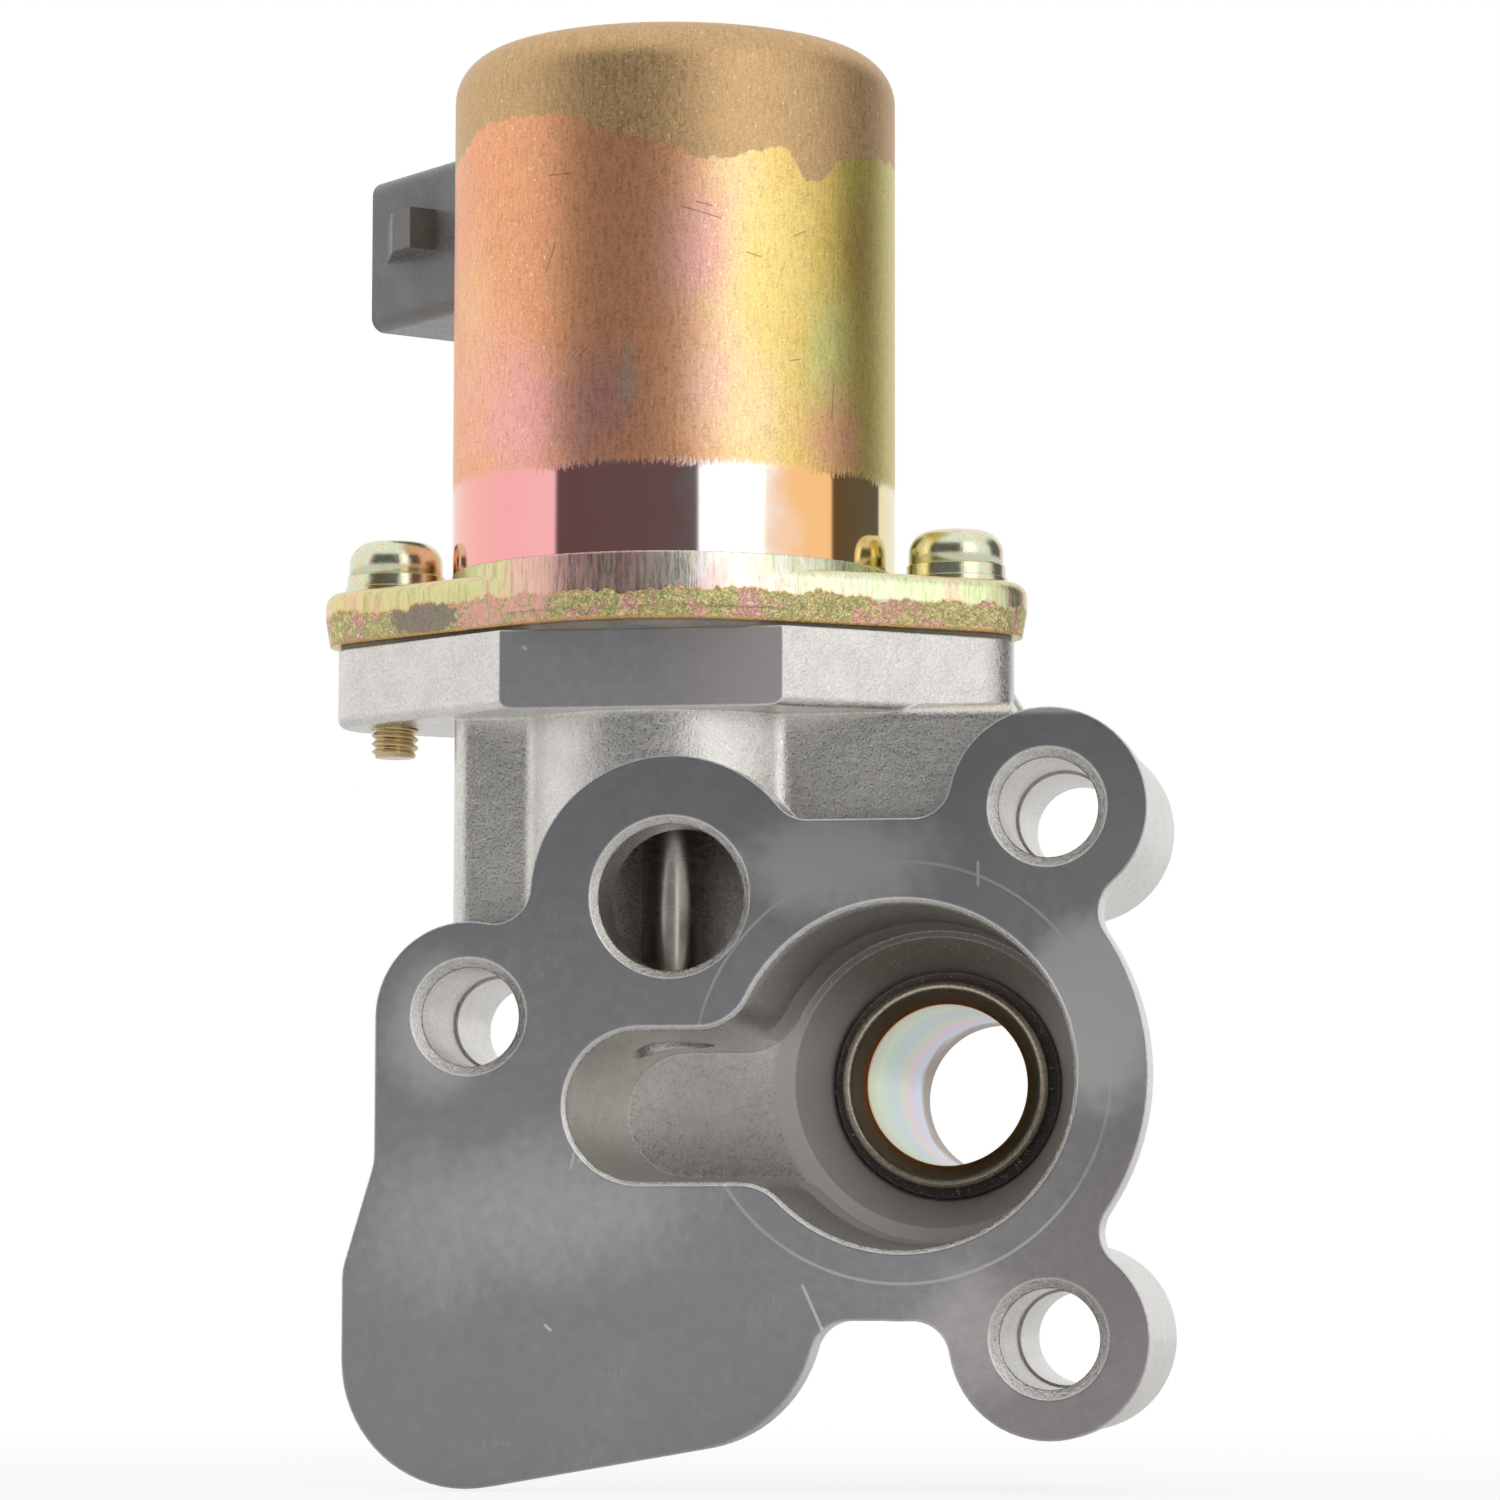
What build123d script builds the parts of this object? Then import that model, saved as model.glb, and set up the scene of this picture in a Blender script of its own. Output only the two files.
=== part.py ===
from build123d import *
import math
import os

# An idle air control valve: a plated solenoid bolted on a die-cast valve housing.
# Frame: X to the right, Y into the depth, Z up. The mounting face is the plane Y = 0 and
# faces -Y. The valve axis is X = 0, and Z = 0 is level with the lower bolt hole.
# All sizes are in millimetres.

# Valve axis and running fits
axis_depth = 14.8
slide_clearance = 0.08
seat_gap = 0.05
fit_clearance = 0.05

# Bolt holes of the mounting face
bolt_x = 33.4
upper_bolt_z = 42.7
lower_bolt_z = 0.0
left_bolt_x = -14.2
left_bolt_z = 26.05
bolt_bore_radius = 4.05
bolt_bore_rear_radius = 3.85
bolt_chamfer = 0.8
lug_radius = 7.8
lug_rim_radius = 8.1
lug_length = 26.0
bore_parting_depth = 13.0

# Face plate
plate_thickness = 4.0
neck_radius = 3.0
left_edge_x = -22.0
left_bulge_x = -24.6
bulge_low_z = 5.4
bulge_high_z = 14.2
bulge_blend_radius = 5.0
toe_x = -14.25
toe_z = -1.9
toe_radius = 10.33
heel_x = 3.4
heel_z = 2.1
heel_radius = 11.2
bottom_edge_z = 1.42
shoulder_z = 41.9
mouth_chamfer = 0.35

# Valve port
port_x = 2.46
port_z = 35.7
port_radius = 6.0
port_chamfer = 0.65
port_lobe_radius = 11.6

# Air pocket, its slot and the hose tube's boss
pocket_x = 21.48
pocket_z = 21.08
pocket_radius = 14.0
pocket_rim_radius = 20.0
pocket_depth = 22.5
pocket_draft = 2.1
slot_x = 0.05
slot_z = 18.72
slot_half_width = 6.13
slot_blend_radius = 4.6
counterbore_radius = 12.3
counterbore_depth = 28.5
counterbore_floor_radius = 9.6
cup_wall = 2.9
boss_radius = 11.4
boss_end = 38.0

# Hose tube
tube_z = 21.38
tube_radius = 7.9
tube_bore_radius = 6.9
tube_front = 26.3
tube_end = 67.0
tube_lip_radius = 8.84
tube_lip_length = 2.15
tube_curl_radius = 0.4
tube_mouth_depth = 1.7
tube_edge = 0.35
tube_bead_radius = 8.6
tube_bead_width = 2.2
tube_bead_slope = 0.7
tube_bead_setback = 3.0

# Valve barrel, its chamber and the wall behind the face
barrel_radius = 13.4
barrel_crease_radius = 2.0
wing_half_width = 17.4
wing_front = 6.5
wing_corner_radius = 2.0
web_thickness = 5.0
web_edge_radius = 1.4
gusset_front = 21.0
gusset_thickness = 3.0
gusset_foot_spread = 1.6
gusset_top_spread = 3.8
gusset_rise = 3.2
rib_width = 2.6
rib_depth = 5.0
rib_rise = 9.4
chamber_radius = 9.0
chamber_floor_z = 28.4
seat_bore_radius = 3.6
seat_chamfer = 1.0
overrun = 1.0

# Head block under the solenoid
screw_x = 24.06
block_top_z = 57.8
block_thickness = 6.55
block_body_radius = 18.9
block_ear_radius = 4.84
block_edge_radius = 0.8

# Gasket and solenoid flange
gasket_thickness = 0.4
gasket_inset = 1.3
flange_thickness = 4.5
flange_ear_radius = 5.94
flange_edge_radius = 1.1
flange_tear_height = 2.2
flange_tear_inset = 0.4
collar_height = 0.95

# Solenoid can
can_radius = 18.7
can_wall = 1.6
can_height = 44.5
can_edge_radius = 4.0

# Flange screws and washers
screw_radius = 2.0
screw_head_radius = 3.97
screw_head_height = 3.0
screw_head_edge = 1.9
screw_recess_radius = 1.9
screw_recess_width = 0.9
screw_recess_depth = 1.7
screw_tip_z = 48.8
screw_point = 0.4
spring_washer_radius = 4.15
spring_washer_thickness = 1.0
spring_washer_gap = 0.7
spring_washer_slant = 35.0
plain_washer_radius = 4.3
plain_washer_thickness = 0.5
washer_hole_radius = 2.15

# Plunger, rod and valve head
rod_radius = 2.6
plunger_radius = 5.5
plunger_length = 21.0
plunger_bottom_z = 66.0
plunger_bevel = 0.4
vent_width = 1.2
vent_depth = 0.8
valve_lift = 3.0
head_radius = 4.7
head_rim = 0.9
head_nose_length = 1.6
head_nose_radius = 2.7
head_nose_bevel = 0.4
head_hub_radius = 3.2
head_hub_height = 1.0
stud_radius = 1.5
rod_entry = 7.0
clip_thickness = 0.5
clip_radius = 2.4
clip_grip = 0.35
clip_gap = 2.1
clip_angle = 60.0
bush_radius = 6.0
bush_length = 5.0
bush_setback = 0.3

# Coil, core and guide sleeve
sleeve_wall = 0.6
core_radius = 5.5
core_head_radius = 8.0
core_head_height = 1.6
bobbin_wall = 1.1
bobbin_flange = 1.4
bobbin_base_gap = 1.2
bobbin_top_radius = 15.8
winding_radius = 15.0
seal_ring_section = 1.14
seal_ring_radius = 9.0
sleeve_overlap = 5.0

# Return spring
spring_wire = 0.5
spring_radius = 2.3
spring_turns = 6.5
spring_pocket = 6.0
spring_play = 0.3

# Cable connector
connector_angle = 135.0
connector_reach = 36.2
connector_half_width = 8.0
connector_bottom_z = 89.1
connector_height = 13.6
connector_edge_radius = 1.3
socket_wall = 1.5
socket_depth = 13.0
window_clearance = 0.15
latch_catch = 10.6
latch_length = 3.0
latch_ramp = 5.0
latch_height = 3.6
latch_reach = 2.6
latch_offset = 0.8
terminal_width = 0.8
terminal_height = 2.3
terminal_spacing = 5.2
terminal_reach = 9.5
terminal_inset = 1.5
terminal_bevel = 0.2
seal_depth = 1.2
seal_wall = 1.0

# Places that follow from the sizes above
pocket_narrowing = math.tan(math.radians(pocket_draft))
block_bottom_z = block_top_z - block_thickness
flange_bottom_z = block_top_z + gasket_thickness
flange_top_z = flange_bottom_z + flange_thickness
collar_top_z = flange_top_z + collar_height
can_top_z = collar_top_z + can_height
can_inner_radius = can_radius - can_wall
can_inner_top_z = can_top_z - can_wall
plunger_top_z = plunger_bottom_z + plunger_length
core_bottom_z = plunger_top_z + valve_lift + seat_gap
sleeve_inner_radius = plunger_radius + slide_clearance
sleeve_outer_radius = sleeve_inner_radius + sleeve_wall
bobbin_inner_radius = sleeve_outer_radius + fit_clearance
bobbin_bottom_z = collar_top_z + bobbin_base_gap
bobbin_top_z = can_inner_top_z - core_head_height
connector_z = connector_bottom_z + connector_height / 2
chamfer_bottom_z = chamber_floor_z - seat_chamfer
head_nose_z = chamfer_bottom_z - head_nose_length
cone_start_z = chamfer_bottom_z - seat_bore_radius + seat_gap * math.sqrt(2)
head_cone_top_z = cone_start_z + head_radius
head_top_z = head_cone_top_z + head_rim + head_hub_height
spring_hole_radius = spring_radius + spring_wire / 2 + spring_play
socket_floor = connector_reach - socket_depth
terminal_root = winding_radius + terminal_inset
terminal_tip = socket_floor + terminal_reach


def save(node, shape):
    """Writes one sub-part to its own STEP file."""
    os.makedirs("parts", exist_ok=True)
    export_step(shape, f"parts/{node}.step")


def rod_y(x, z, radius, front, rear):
    """A round bar along Y between two depths."""
    return Pos(x, (front + rear) / 2, z) * Rot(90, 0, 0) * Cylinder(radius, rear - front)


def cone_y(x, z, front_radius, rear_radius, front, rear):
    """A cone frustum along Y between two depths."""
    cone = Cone(front_radius, rear_radius, rear - front)
    return Pos(x, (front + rear) / 2, z) * Rot(-90, 0, 0) * cone


def rod_z(radius, bottom, top):
    """A round bar on the valve axis between two heights."""
    return Pos(0, axis_depth, (bottom + top) / 2) * Cylinder(radius, top - bottom)


def turned(profile):
    """Turns a closed (radius, height) outline about the valve axis."""
    outline = make_face(Polyline(*profile, close=True))
    return Pos(0, axis_depth, 0) * revolve(Plane.XZ * outline, Axis.Z)


def block(x_range, y_range, z_range):
    """A box between two corners."""
    sizes = [high - low for low, high in (x_range, y_range, z_range)]
    middle = [(high + low) / 2 for low, high in (x_range, y_range, z_range)]
    return Pos(*middle) * Box(*sizes)


def into_depth(sketch, front, rear):
    """Extrudes an (X, Z) outline from one depth to another."""
    return Pos(0, front, 0) * extrude(Plane.XZ * sketch, amount=-(rear - front))


def disc(x, z, radius):
    """A round outline in the face plane."""
    return Pos(x, z) * Circle(radius)


def closed(sketch, radius):
    """Rounds the inward corners of an outline and leaves its outward ones."""
    wide = offset(sketch, amount=radius, kind=Kind.ARC)
    return offset(wide, amount=-radius, kind=Kind.ARC)


def face_outline():
    """The outline of the machined mounting face."""
    edge = Polygon(
        (left_bulge_x, toe_z),
        (toe_x, toe_z),
        (left_bolt_x, left_bolt_z),
        (left_edge_x, left_bolt_z),
        (left_edge_x, bulge_high_z),
        (left_bulge_x, bulge_low_z),
        align=None,
    )
    bends = [v for v in edge.vertices() if toe_z < v.Y < left_bolt_z and v.X < toe_x]
    edge = fillet(bends, bulge_blend_radius)
    middle = Polygon(
        (toe_x, toe_z),
        (heel_x, heel_z),
        (heel_x, bottom_edge_z),
        (bolt_x, bottom_edge_z),
        (bolt_x, shoulder_z),
        (port_x, shoulder_z),
        (port_x, port_z),
        (left_bolt_x, left_bolt_z),
        align=None,
    )
    toe = make_hull(disc(toe_x, toe_z, toe_radius).edges() + disc(heel_x, heel_z, heel_radius).edges())
    outline = edge + middle + toe
    outline += disc(port_x, port_z, port_lobe_radius) + disc(pocket_x, tube_z, pocket_rim_radius)
    outline += disc(left_bolt_x, left_bolt_z, left_bolt_x - left_edge_x)
    for z in (lower_bolt_z, upper_bolt_z):
        outline += disc(bolt_x, z, lug_rim_radius)
    return closed(outline, neck_radius)


def pocket_outline(grow=0.0):
    """The key-shaped mouth of the air pocket, made wider all round by a distance."""
    half = slot_half_width + grow
    slot = disc(slot_x, slot_z, half)
    reach = pocket_x - slot_x
    slot += Pos(slot_x + reach / 2, slot_z) * Rectangle(reach, 2 * half)
    return closed(slot + disc(pocket_x, pocket_z, pocket_radius + grow), slot_blend_radius - grow)


def pocket_loft(front, front_grow, rear, rear_grow):
    """The pocket's key shape between two depths, each with its own growth."""
    near = Pos(0, front, 0) * (Plane.XZ * pocket_outline(front_grow))
    far = Pos(0, rear, 0) * (Plane.XZ * pocket_outline(rear_grow))
    return loft([near.face(), far.face()], ruled=True)


def pocket_body(grow, front, rear):
    """The pocket's key shape, narrowing with the casting draft."""
    return pocket_loft(front, grow - pocket_narrowing * front, rear, grow - pocket_narrowing * rear)


def pocket_mouth():
    """The cutter that breaks the sharp edge of the pocket's mouth."""
    wide = mouth_chamfer + overrun
    return pocket_loft(-overrun, wide, mouth_chamfer, -pocket_narrowing * mouth_chamfer)


def ear_outline(body_radius, ear_radius, grow=0.0):
    """The two-eared outline of the flange, the gasket and the block, about the valve axis."""
    shapes = Circle(body_radius + grow).edges()
    for side in (-1, 1):
        shapes += (Pos(side * screw_x, 0) * Circle(ear_radius + grow)).edges()
    return Pos(0, axis_depth) * make_hull(shapes)


def bolt_places():
    """The three bolt holes and their bosses as (X, Z, boss radius)."""
    return [
        (bolt_x, upper_bolt_z, lug_radius),
        (bolt_x, lower_bolt_z, lug_radius),
        (left_bolt_x, left_bolt_z, left_bolt_x - left_edge_x),
    ]


def head_block():
    """The block that carries the solenoid, milled flush with the mounting face."""
    outline = ear_outline(block_body_radius, block_ear_radius)
    body = extrude(Pos(0, 0, block_bottom_z) * outline, amount=block_thickness)
    lower_edges = body.faces().sort_by(Axis.Z)[0].edges()
    body = fillet(lower_edges, block_edge_radius)
    z_range = (block_bottom_z - overrun, block_top_z + overrun)
    return body - block((-screw_x, screw_x), (-block_body_radius, 0), z_range)


def barrel():
    """The valve barrel with the wings that hold up the block."""
    bottom = slot_z + slot_half_width
    top = block_bottom_z + block_edge_radius
    wing_depth = 2 * (axis_depth - wing_front)
    wing = Pos(0, axis_depth, bottom) * RectangleRounded(2 * wing_half_width, wing_depth, wing_corner_radius)
    shape = rod_z(barrel_radius, bottom, top) + extrude(wing, amount=top - bottom)
    upright = shape.edges().filter_by(Axis.Z)
    creases = [e for e in upright if abs(e.center().X) < barrel_radius and abs(e.center().Y - wing_front) < 0.01]
    return fillet(creases, barrel_crease_radius)


def web():
    """The set-back wall between the barrel and the right-hand bolt bosses."""
    top = block_bottom_z + block_edge_radius
    sketch = Polygon(
        (0, slot_z),
        (bolt_x, slot_z),
        (bolt_x, upper_bolt_z),
        (bolt_x - lug_radius / 2, top),
        (0, top),
        align=None,
    )
    wall = into_depth(sketch, wing_front, wing_front + web_thickness)
    front = wall.faces().sort_by(Axis.Y)[0]
    return fillet(front.edges().sort_by(Axis.Z)[-1], web_edge_radius)


def gusset():
    """The slanted rib from the block's right ear to the upper bolt boss."""
    sketch = Polygon(
        (screw_x, upper_bolt_z),
        (bolt_x + gusset_foot_spread, upper_bolt_z),
        (screw_x + gusset_top_spread, block_bottom_z + gusset_rise),
        (screw_x, block_bottom_z + gusset_rise),
        align=None,
    )
    return into_depth(sketch, gusset_front, gusset_front + gusset_thickness)


def back_ribs():
    """Stiffening ribs on the back of the face plate."""
    half = rib_width / 2
    rear = plate_thickness + rib_depth
    upright = Polygon(
        (left_bolt_x - half, toe_z),
        (left_bolt_x + half, toe_z),
        (left_bolt_x + half, left_bolt_z),
        (left_bolt_x - half, left_bolt_z),
        align=None,
    )
    level = Polygon(
        (toe_x, toe_z - half),
        (heel_x, heel_z - half),
        (pocket_x, rib_rise - half),
        (pocket_x, rib_rise + half),
        (heel_x, heel_z + half),
        (toe_x, toe_z + half),
        align=None,
    )
    return into_depth(upright, overrun, rear) + into_depth(level, overrun, rear)


def valve_housing():
    """The die-cast body with its machined face, passages, bores and bosses."""
    body = into_depth(face_outline(), 0, plate_thickness)
    for x, z, radius in bolt_places():
        body += rod_y(x, z, radius, overrun, lug_length)
    body += pocket_body(cup_wall, overrun, pocket_depth + cup_wall)
    cup_radius = counterbore_radius + cup_wall
    body += rod_y(pocket_x, tube_z, cup_radius, plate_thickness, counterbore_depth + cup_wall)
    body += rod_y(pocket_x, tube_z, boss_radius, plate_thickness, boss_end)
    body += rod_y(port_x, port_z, port_lobe_radius, overrun, wing_front + overrun)
    body += barrel() + web() + gusset() + back_ribs() + head_block()
    return body - passages()


def passages():
    """Everything that is cored, bored or tapped out of the casting."""
    cut = pocket_body(0, -overrun, pocket_depth)
    cut += pocket_mouth()
    narrowing = (counterbore_radius - counterbore_floor_radius) / (counterbore_depth - pocket_depth)
    mouth_radius = counterbore_radius + narrowing * overrun
    cut += cone_y(pocket_x, tube_z, mouth_radius, counterbore_floor_radius, pocket_depth - overrun, counterbore_depth)
    cut += rod_y(pocket_x, tube_z, tube_radius, counterbore_depth - overrun, boss_end + overrun)
    cut += chamfered_bore(port_x, port_z, port_radius, port_chamfer, axis_depth)
    cut += turned([
        (0, slot_z),
        (seat_bore_radius, slot_z),
        (seat_bore_radius, chamfer_bottom_z),
        (seat_bore_radius + seat_chamfer, chamber_floor_z),
        (chamber_radius, chamber_floor_z),
        (chamber_radius, block_top_z + overrun),
        (0, block_top_z + overrun),
    ])
    for x, z, _ in bolt_places():
        cut += chamfered_bore(x, z, bolt_bore_radius, bolt_chamfer, bore_parting_depth)
        cut += rod_y(x, z, bolt_bore_rear_radius, bore_parting_depth - overrun, lug_length + overrun)
    return cut + screw_holes(screw_radius + fit_clearance, block_bottom_z - overrun, block_top_z + overrun)


def chamfered_bore(x, z, radius, bevel, rear):
    """A cutter for a bore from the mounting face with a bevelled mouth."""
    mouth = cone_y(x, z, radius + bevel + overrun, radius, -overrun, bevel)
    return mouth + rod_y(x, z, radius, -overrun, rear)


def flange_gasket():
    """The flat seal between the head block and the solenoid flange."""
    outline = ear_outline(can_radius, flange_ear_radius, -gasket_inset)
    sheet = extrude(Pos(0, 0, block_top_z) * outline, amount=gasket_thickness)
    sheet -= rod_z(chamber_radius, block_top_z - overrun, flange_bottom_z + overrun)
    return sheet - screw_holes(washer_hole_radius, block_top_z - overrun, flange_bottom_z + overrun)


def screw_holes(radius, bottom, top):
    """Two upright holes on the screw axes."""
    holes = Pos(-screw_x, axis_depth, (bottom + top) / 2) * Cylinder(radius, top - bottom)
    return holes + Pos(screw_x, axis_depth, (bottom + top) / 2) * Cylinder(radius, top - bottom)


def mounting_flange():
    """The blanked steel flange with the low collar that the can stands on."""
    outline = ear_outline(can_radius, flange_ear_radius)
    plate = extrude(Pos(0, 0, flange_bottom_z) * outline, amount=flange_thickness)
    plate = fillet(plate.faces().sort_by(Axis.Z)[-1].edges(), flange_edge_radius)
    under = plate.faces().sort_by(Axis.Z)[0]
    plate = chamfer(under.edges(), flange_tear_inset, flange_tear_height, reference=under)
    plate += rod_z(can_radius, flange_bottom_z + overrun, collar_top_z)
    plate -= rod_z(bush_radius, flange_bottom_z - overrun, collar_top_z + overrun)
    return plate - screw_holes(washer_hole_radius, flange_bottom_z - overrun, collar_top_z + overrun)


def at_connector(shape):
    """Turns a shape built along +X, from the can's axis, to the connector's direction."""
    return Pos(0, axis_depth, 0) * Rot(0, 0, connector_angle) * shape


def solenoid_can():
    """The deep-drawn can with its rounded top edge and the connector's window."""
    outer = rod_z(can_radius, collar_top_z, can_top_z)
    outer = fillet(outer.faces().sort_by(Axis.Z)[-1].edges(), can_edge_radius)
    inner = rod_z(can_inner_radius, collar_top_z - overrun, can_inner_top_z)
    inner = fillet(inner.faces().sort_by(Axis.Z)[-1].edges(), can_edge_radius - can_wall)
    half = connector_half_width + window_clearance
    rise = connector_height / 2 + window_clearance
    x_range = (winding_radius, can_radius + overrun)
    window = block(x_range, (-half, half), (connector_z - rise, connector_z + rise))
    return outer - inner - at_connector(window)


def flange_screw(side):
    """A pan-head screw with a cross recess, on one side of the can."""
    head_z = flange_top_z + plain_washer_thickness + spring_washer_thickness
    head_top = head_z + screw_head_height
    head = rod_z(screw_head_radius, head_z, head_top)
    head = fillet(head.faces().sort_by(Axis.Z)[-1].edges(), screw_head_edge)
    shank = rod_z(screw_radius, screw_tip_z, head_z)
    shank = chamfer(shank.faces().sort_by(Axis.Z)[0].edges(), screw_point)
    screw = head + shank
    for turn in (45, 135):
        arm = Box(2 * screw_recess_radius, screw_recess_width, 2 * screw_recess_depth)
        screw -= Pos(0, axis_depth, head_top) * Rot(0, 0, turn) * arm
    return Pos(side * screw_x, 0, 0) * screw


def spring_washer(side):
    """A split spring washer, pressed flat under the screw's head."""
    low = flange_top_z + plain_washer_thickness
    ring = Cylinder(spring_washer_radius, spring_washer_thickness)
    ring -= Cylinder(washer_hole_radius, spring_washer_thickness)
    split = Pos(-spring_washer_radius, 0, 0) * Rot(spring_washer_slant, 0, 0) * Box(
        2 * spring_washer_radius, spring_washer_gap, 3 * spring_washer_thickness)
    return Pos(side * screw_x, axis_depth, low + spring_washer_thickness / 2) * (ring - split)


def plain_washer(side):
    """The flat washer that lies on the flange."""
    ring = Cylinder(plain_washer_radius, plain_washer_thickness)
    ring -= Cylinder(washer_hole_radius, plain_washer_thickness)
    return Pos(side * screw_x, axis_depth, flange_top_z + plain_washer_thickness / 2) * ring


def inlet_tube():
    """The steel hose tube: a flared front lip, a straight pipe and a hose bead."""
    bead_rear = tube_end - tube_bead_setback
    bead_front = bead_rear - tube_bead_width
    lip_rear = tube_front + tube_lip_length
    curl = ThreePointArc(
        (tube_lip_radius - 2 * tube_curl_radius, tube_front + tube_curl_radius),
        (tube_lip_radius - tube_curl_radius, tube_front),
        (tube_lip_radius, tube_front + tube_curl_radius),
    )
    profile = [
        (tube_lip_radius, tube_front + tube_curl_radius),
        (tube_lip_radius, lip_rear - tube_edge),
        (tube_lip_radius - tube_edge, lip_rear),
        (tube_radius, lip_rear),
        (tube_radius, bead_front),
        (tube_bead_radius, bead_front + tube_bead_slope),
        (tube_bead_radius, bead_rear - tube_bead_slope),
        (tube_radius, bead_rear),
        (tube_radius, tube_end),
        (tube_bore_radius, tube_end),
        (tube_bore_radius, tube_front + tube_mouth_depth),
        (tube_lip_radius - 2 * tube_curl_radius, tube_front + tube_curl_radius),
    ]
    outline = make_face(curl + Polyline(*profile))
    return Pos(pocket_x, 0, tube_z) * revolve(outline, Axis.Y)


def valve_rod():
    """The rod from the plunger to the valve head, with its stud and clip groove."""
    groove_top = head_nose_z
    groove_low = groove_top - clip_thickness - 2 * fit_clearance
    return turned([
        (0, groove_low - clip_thickness),
        (stud_radius, groove_low - clip_thickness),
        (stud_radius, groove_low),
        (stud_radius - clip_grip, groove_low),
        (stud_radius - clip_grip, groove_top),
        (stud_radius, groove_top),
        (stud_radius, head_top_z),
        (rod_radius, head_top_z),
        (rod_radius, plunger_bottom_z + rod_entry),
        (0, plunger_bottom_z + rod_entry),
    ])


def valve_head():
    """The turned valve head: a cone on the seat and a short nose in the seat's bore."""
    bore = stud_radius + fit_clearance
    return turned([
        (bore, head_nose_z),
        (head_nose_radius - head_nose_bevel, head_nose_z),
        (head_nose_radius, head_nose_z + head_nose_bevel),
        (head_nose_radius, cone_start_z + head_nose_radius),
        (head_radius, head_cone_top_z),
        (head_radius, head_cone_top_z + head_rim),
        (head_hub_radius, head_cone_top_z + head_rim),
        (head_hub_radius, head_top_z),
        (bore, head_top_z),
    ])


def retaining_clip():
    """The open clip that holds the valve head on the rod's stud."""
    top = head_nose_z - fit_clearance
    low = top - clip_thickness
    ring = rod_z(clip_radius, low, top)
    ring -= rod_z(stud_radius - clip_grip + fit_clearance, low - overrun, top + overrun)
    gap = block((0, 2 * clip_radius), (-clip_gap / 2, clip_gap / 2), (low - overrun, top + overrun))
    return ring - Pos(0, axis_depth, 0) * Rot(0, 0, clip_angle) * gap


def rod_bush():
    """The guide bush of the rod, pressed into the middle of the flange."""
    return turned([
        (rod_radius + slide_clearance, flange_bottom_z + bush_setback),
        (bush_radius, flange_bottom_z + bush_setback),
        (bush_radius, flange_bottom_z + bush_setback + bush_length),
        (rod_radius + slide_clearance, flange_bottom_z + bush_setback + bush_length),
    ])


def plunger():
    """The moving iron core, bored for the rod below and for the spring above."""
    body = rod_z(plunger_radius, plunger_bottom_z, plunger_top_z)
    body = chamfer(body.edges().filter_by(GeomType.CIRCLE), plunger_bevel)
    body -= rod_z(rod_radius + fit_clearance, plunger_bottom_z - overrun, plunger_bottom_z + rod_entry)
    body -= rod_z(spring_hole_radius, plunger_top_z - spring_pocket, plunger_top_z + overrun)
    half = vent_width / 2
    floor = plunger_radius - vent_depth
    for side in (-1, 1):
        x_range = sorted((side * floor, side * (plunger_radius + overrun)))
        z_range = (plunger_bottom_z - overrun, plunger_top_z + overrun)
        body -= Pos(0, axis_depth, 0) * block(x_range, (-half, half), z_range)
    return body


def fixed_core():
    """The fixed iron core that hangs from the top of the can."""
    body = rod_z(core_radius, core_bottom_z, can_inner_top_z)
    body += rod_z(core_head_radius, can_inner_top_z - core_head_height, can_inner_top_z)
    return body - rod_z(spring_hole_radius, core_bottom_z - overrun, core_bottom_z + spring_pocket)


def guide_sleeve():
    """The thin brass sleeve that the plunger slides in."""
    return turned([
        (sleeve_inner_radius, collar_top_z),
        (sleeve_outer_radius, collar_top_z),
        (sleeve_outer_radius, core_bottom_z + sleeve_overlap),
        (sleeve_inner_radius, core_bottom_z + sleeve_overlap),
    ])


def coil_bobbin():
    """The plastic bobbin with its two flanges."""
    low_rim = can_inner_radius - window_clearance
    tube = bobbin_inner_radius + bobbin_wall
    return turned([
        (bobbin_inner_radius, bobbin_bottom_z),
        (low_rim, bobbin_bottom_z),
        (low_rim, bobbin_bottom_z + bobbin_flange),
        (tube, bobbin_bottom_z + bobbin_flange),
        (tube, bobbin_top_z - bobbin_flange),
        (bobbin_top_radius, bobbin_top_z - bobbin_flange),
        (bobbin_top_radius, bobbin_top_z),
        (bobbin_inner_radius, bobbin_top_z),
    ])


def coil_winding():
    """The copper winding, as the solid that its turns fill."""
    tube = bobbin_inner_radius + bobbin_wall + fit_clearance
    low = bobbin_bottom_z + bobbin_flange
    high = bobbin_top_z - bobbin_flange
    return turned([(tube, low), (winding_radius, low), (winding_radius, high), (tube, high)])


def seal_ring():
    """The rubber ring between the bobbin and the flange."""
    section = seal_ring_section / 2
    return Pos(0, axis_depth, collar_top_z + bobbin_base_gap / 2) * Torus(seal_ring_radius, section)


def return_spring():
    """The round-wire spring between the plunger and the fixed core."""
    low = plunger_top_z - spring_pocket + spring_wire / 2 + fit_clearance
    high = core_bottom_z + spring_pocket - spring_wire / 2 - fit_clearance
    path = Helix(pitch=(high - low) / spring_turns, height=high - low, radius=spring_radius)
    wire = sweep(Plane(origin=path @ 0, z_dir=path % 0) * Circle(spring_wire / 2), path=path)
    return Pos(0, axis_depth, low) * wire


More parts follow.
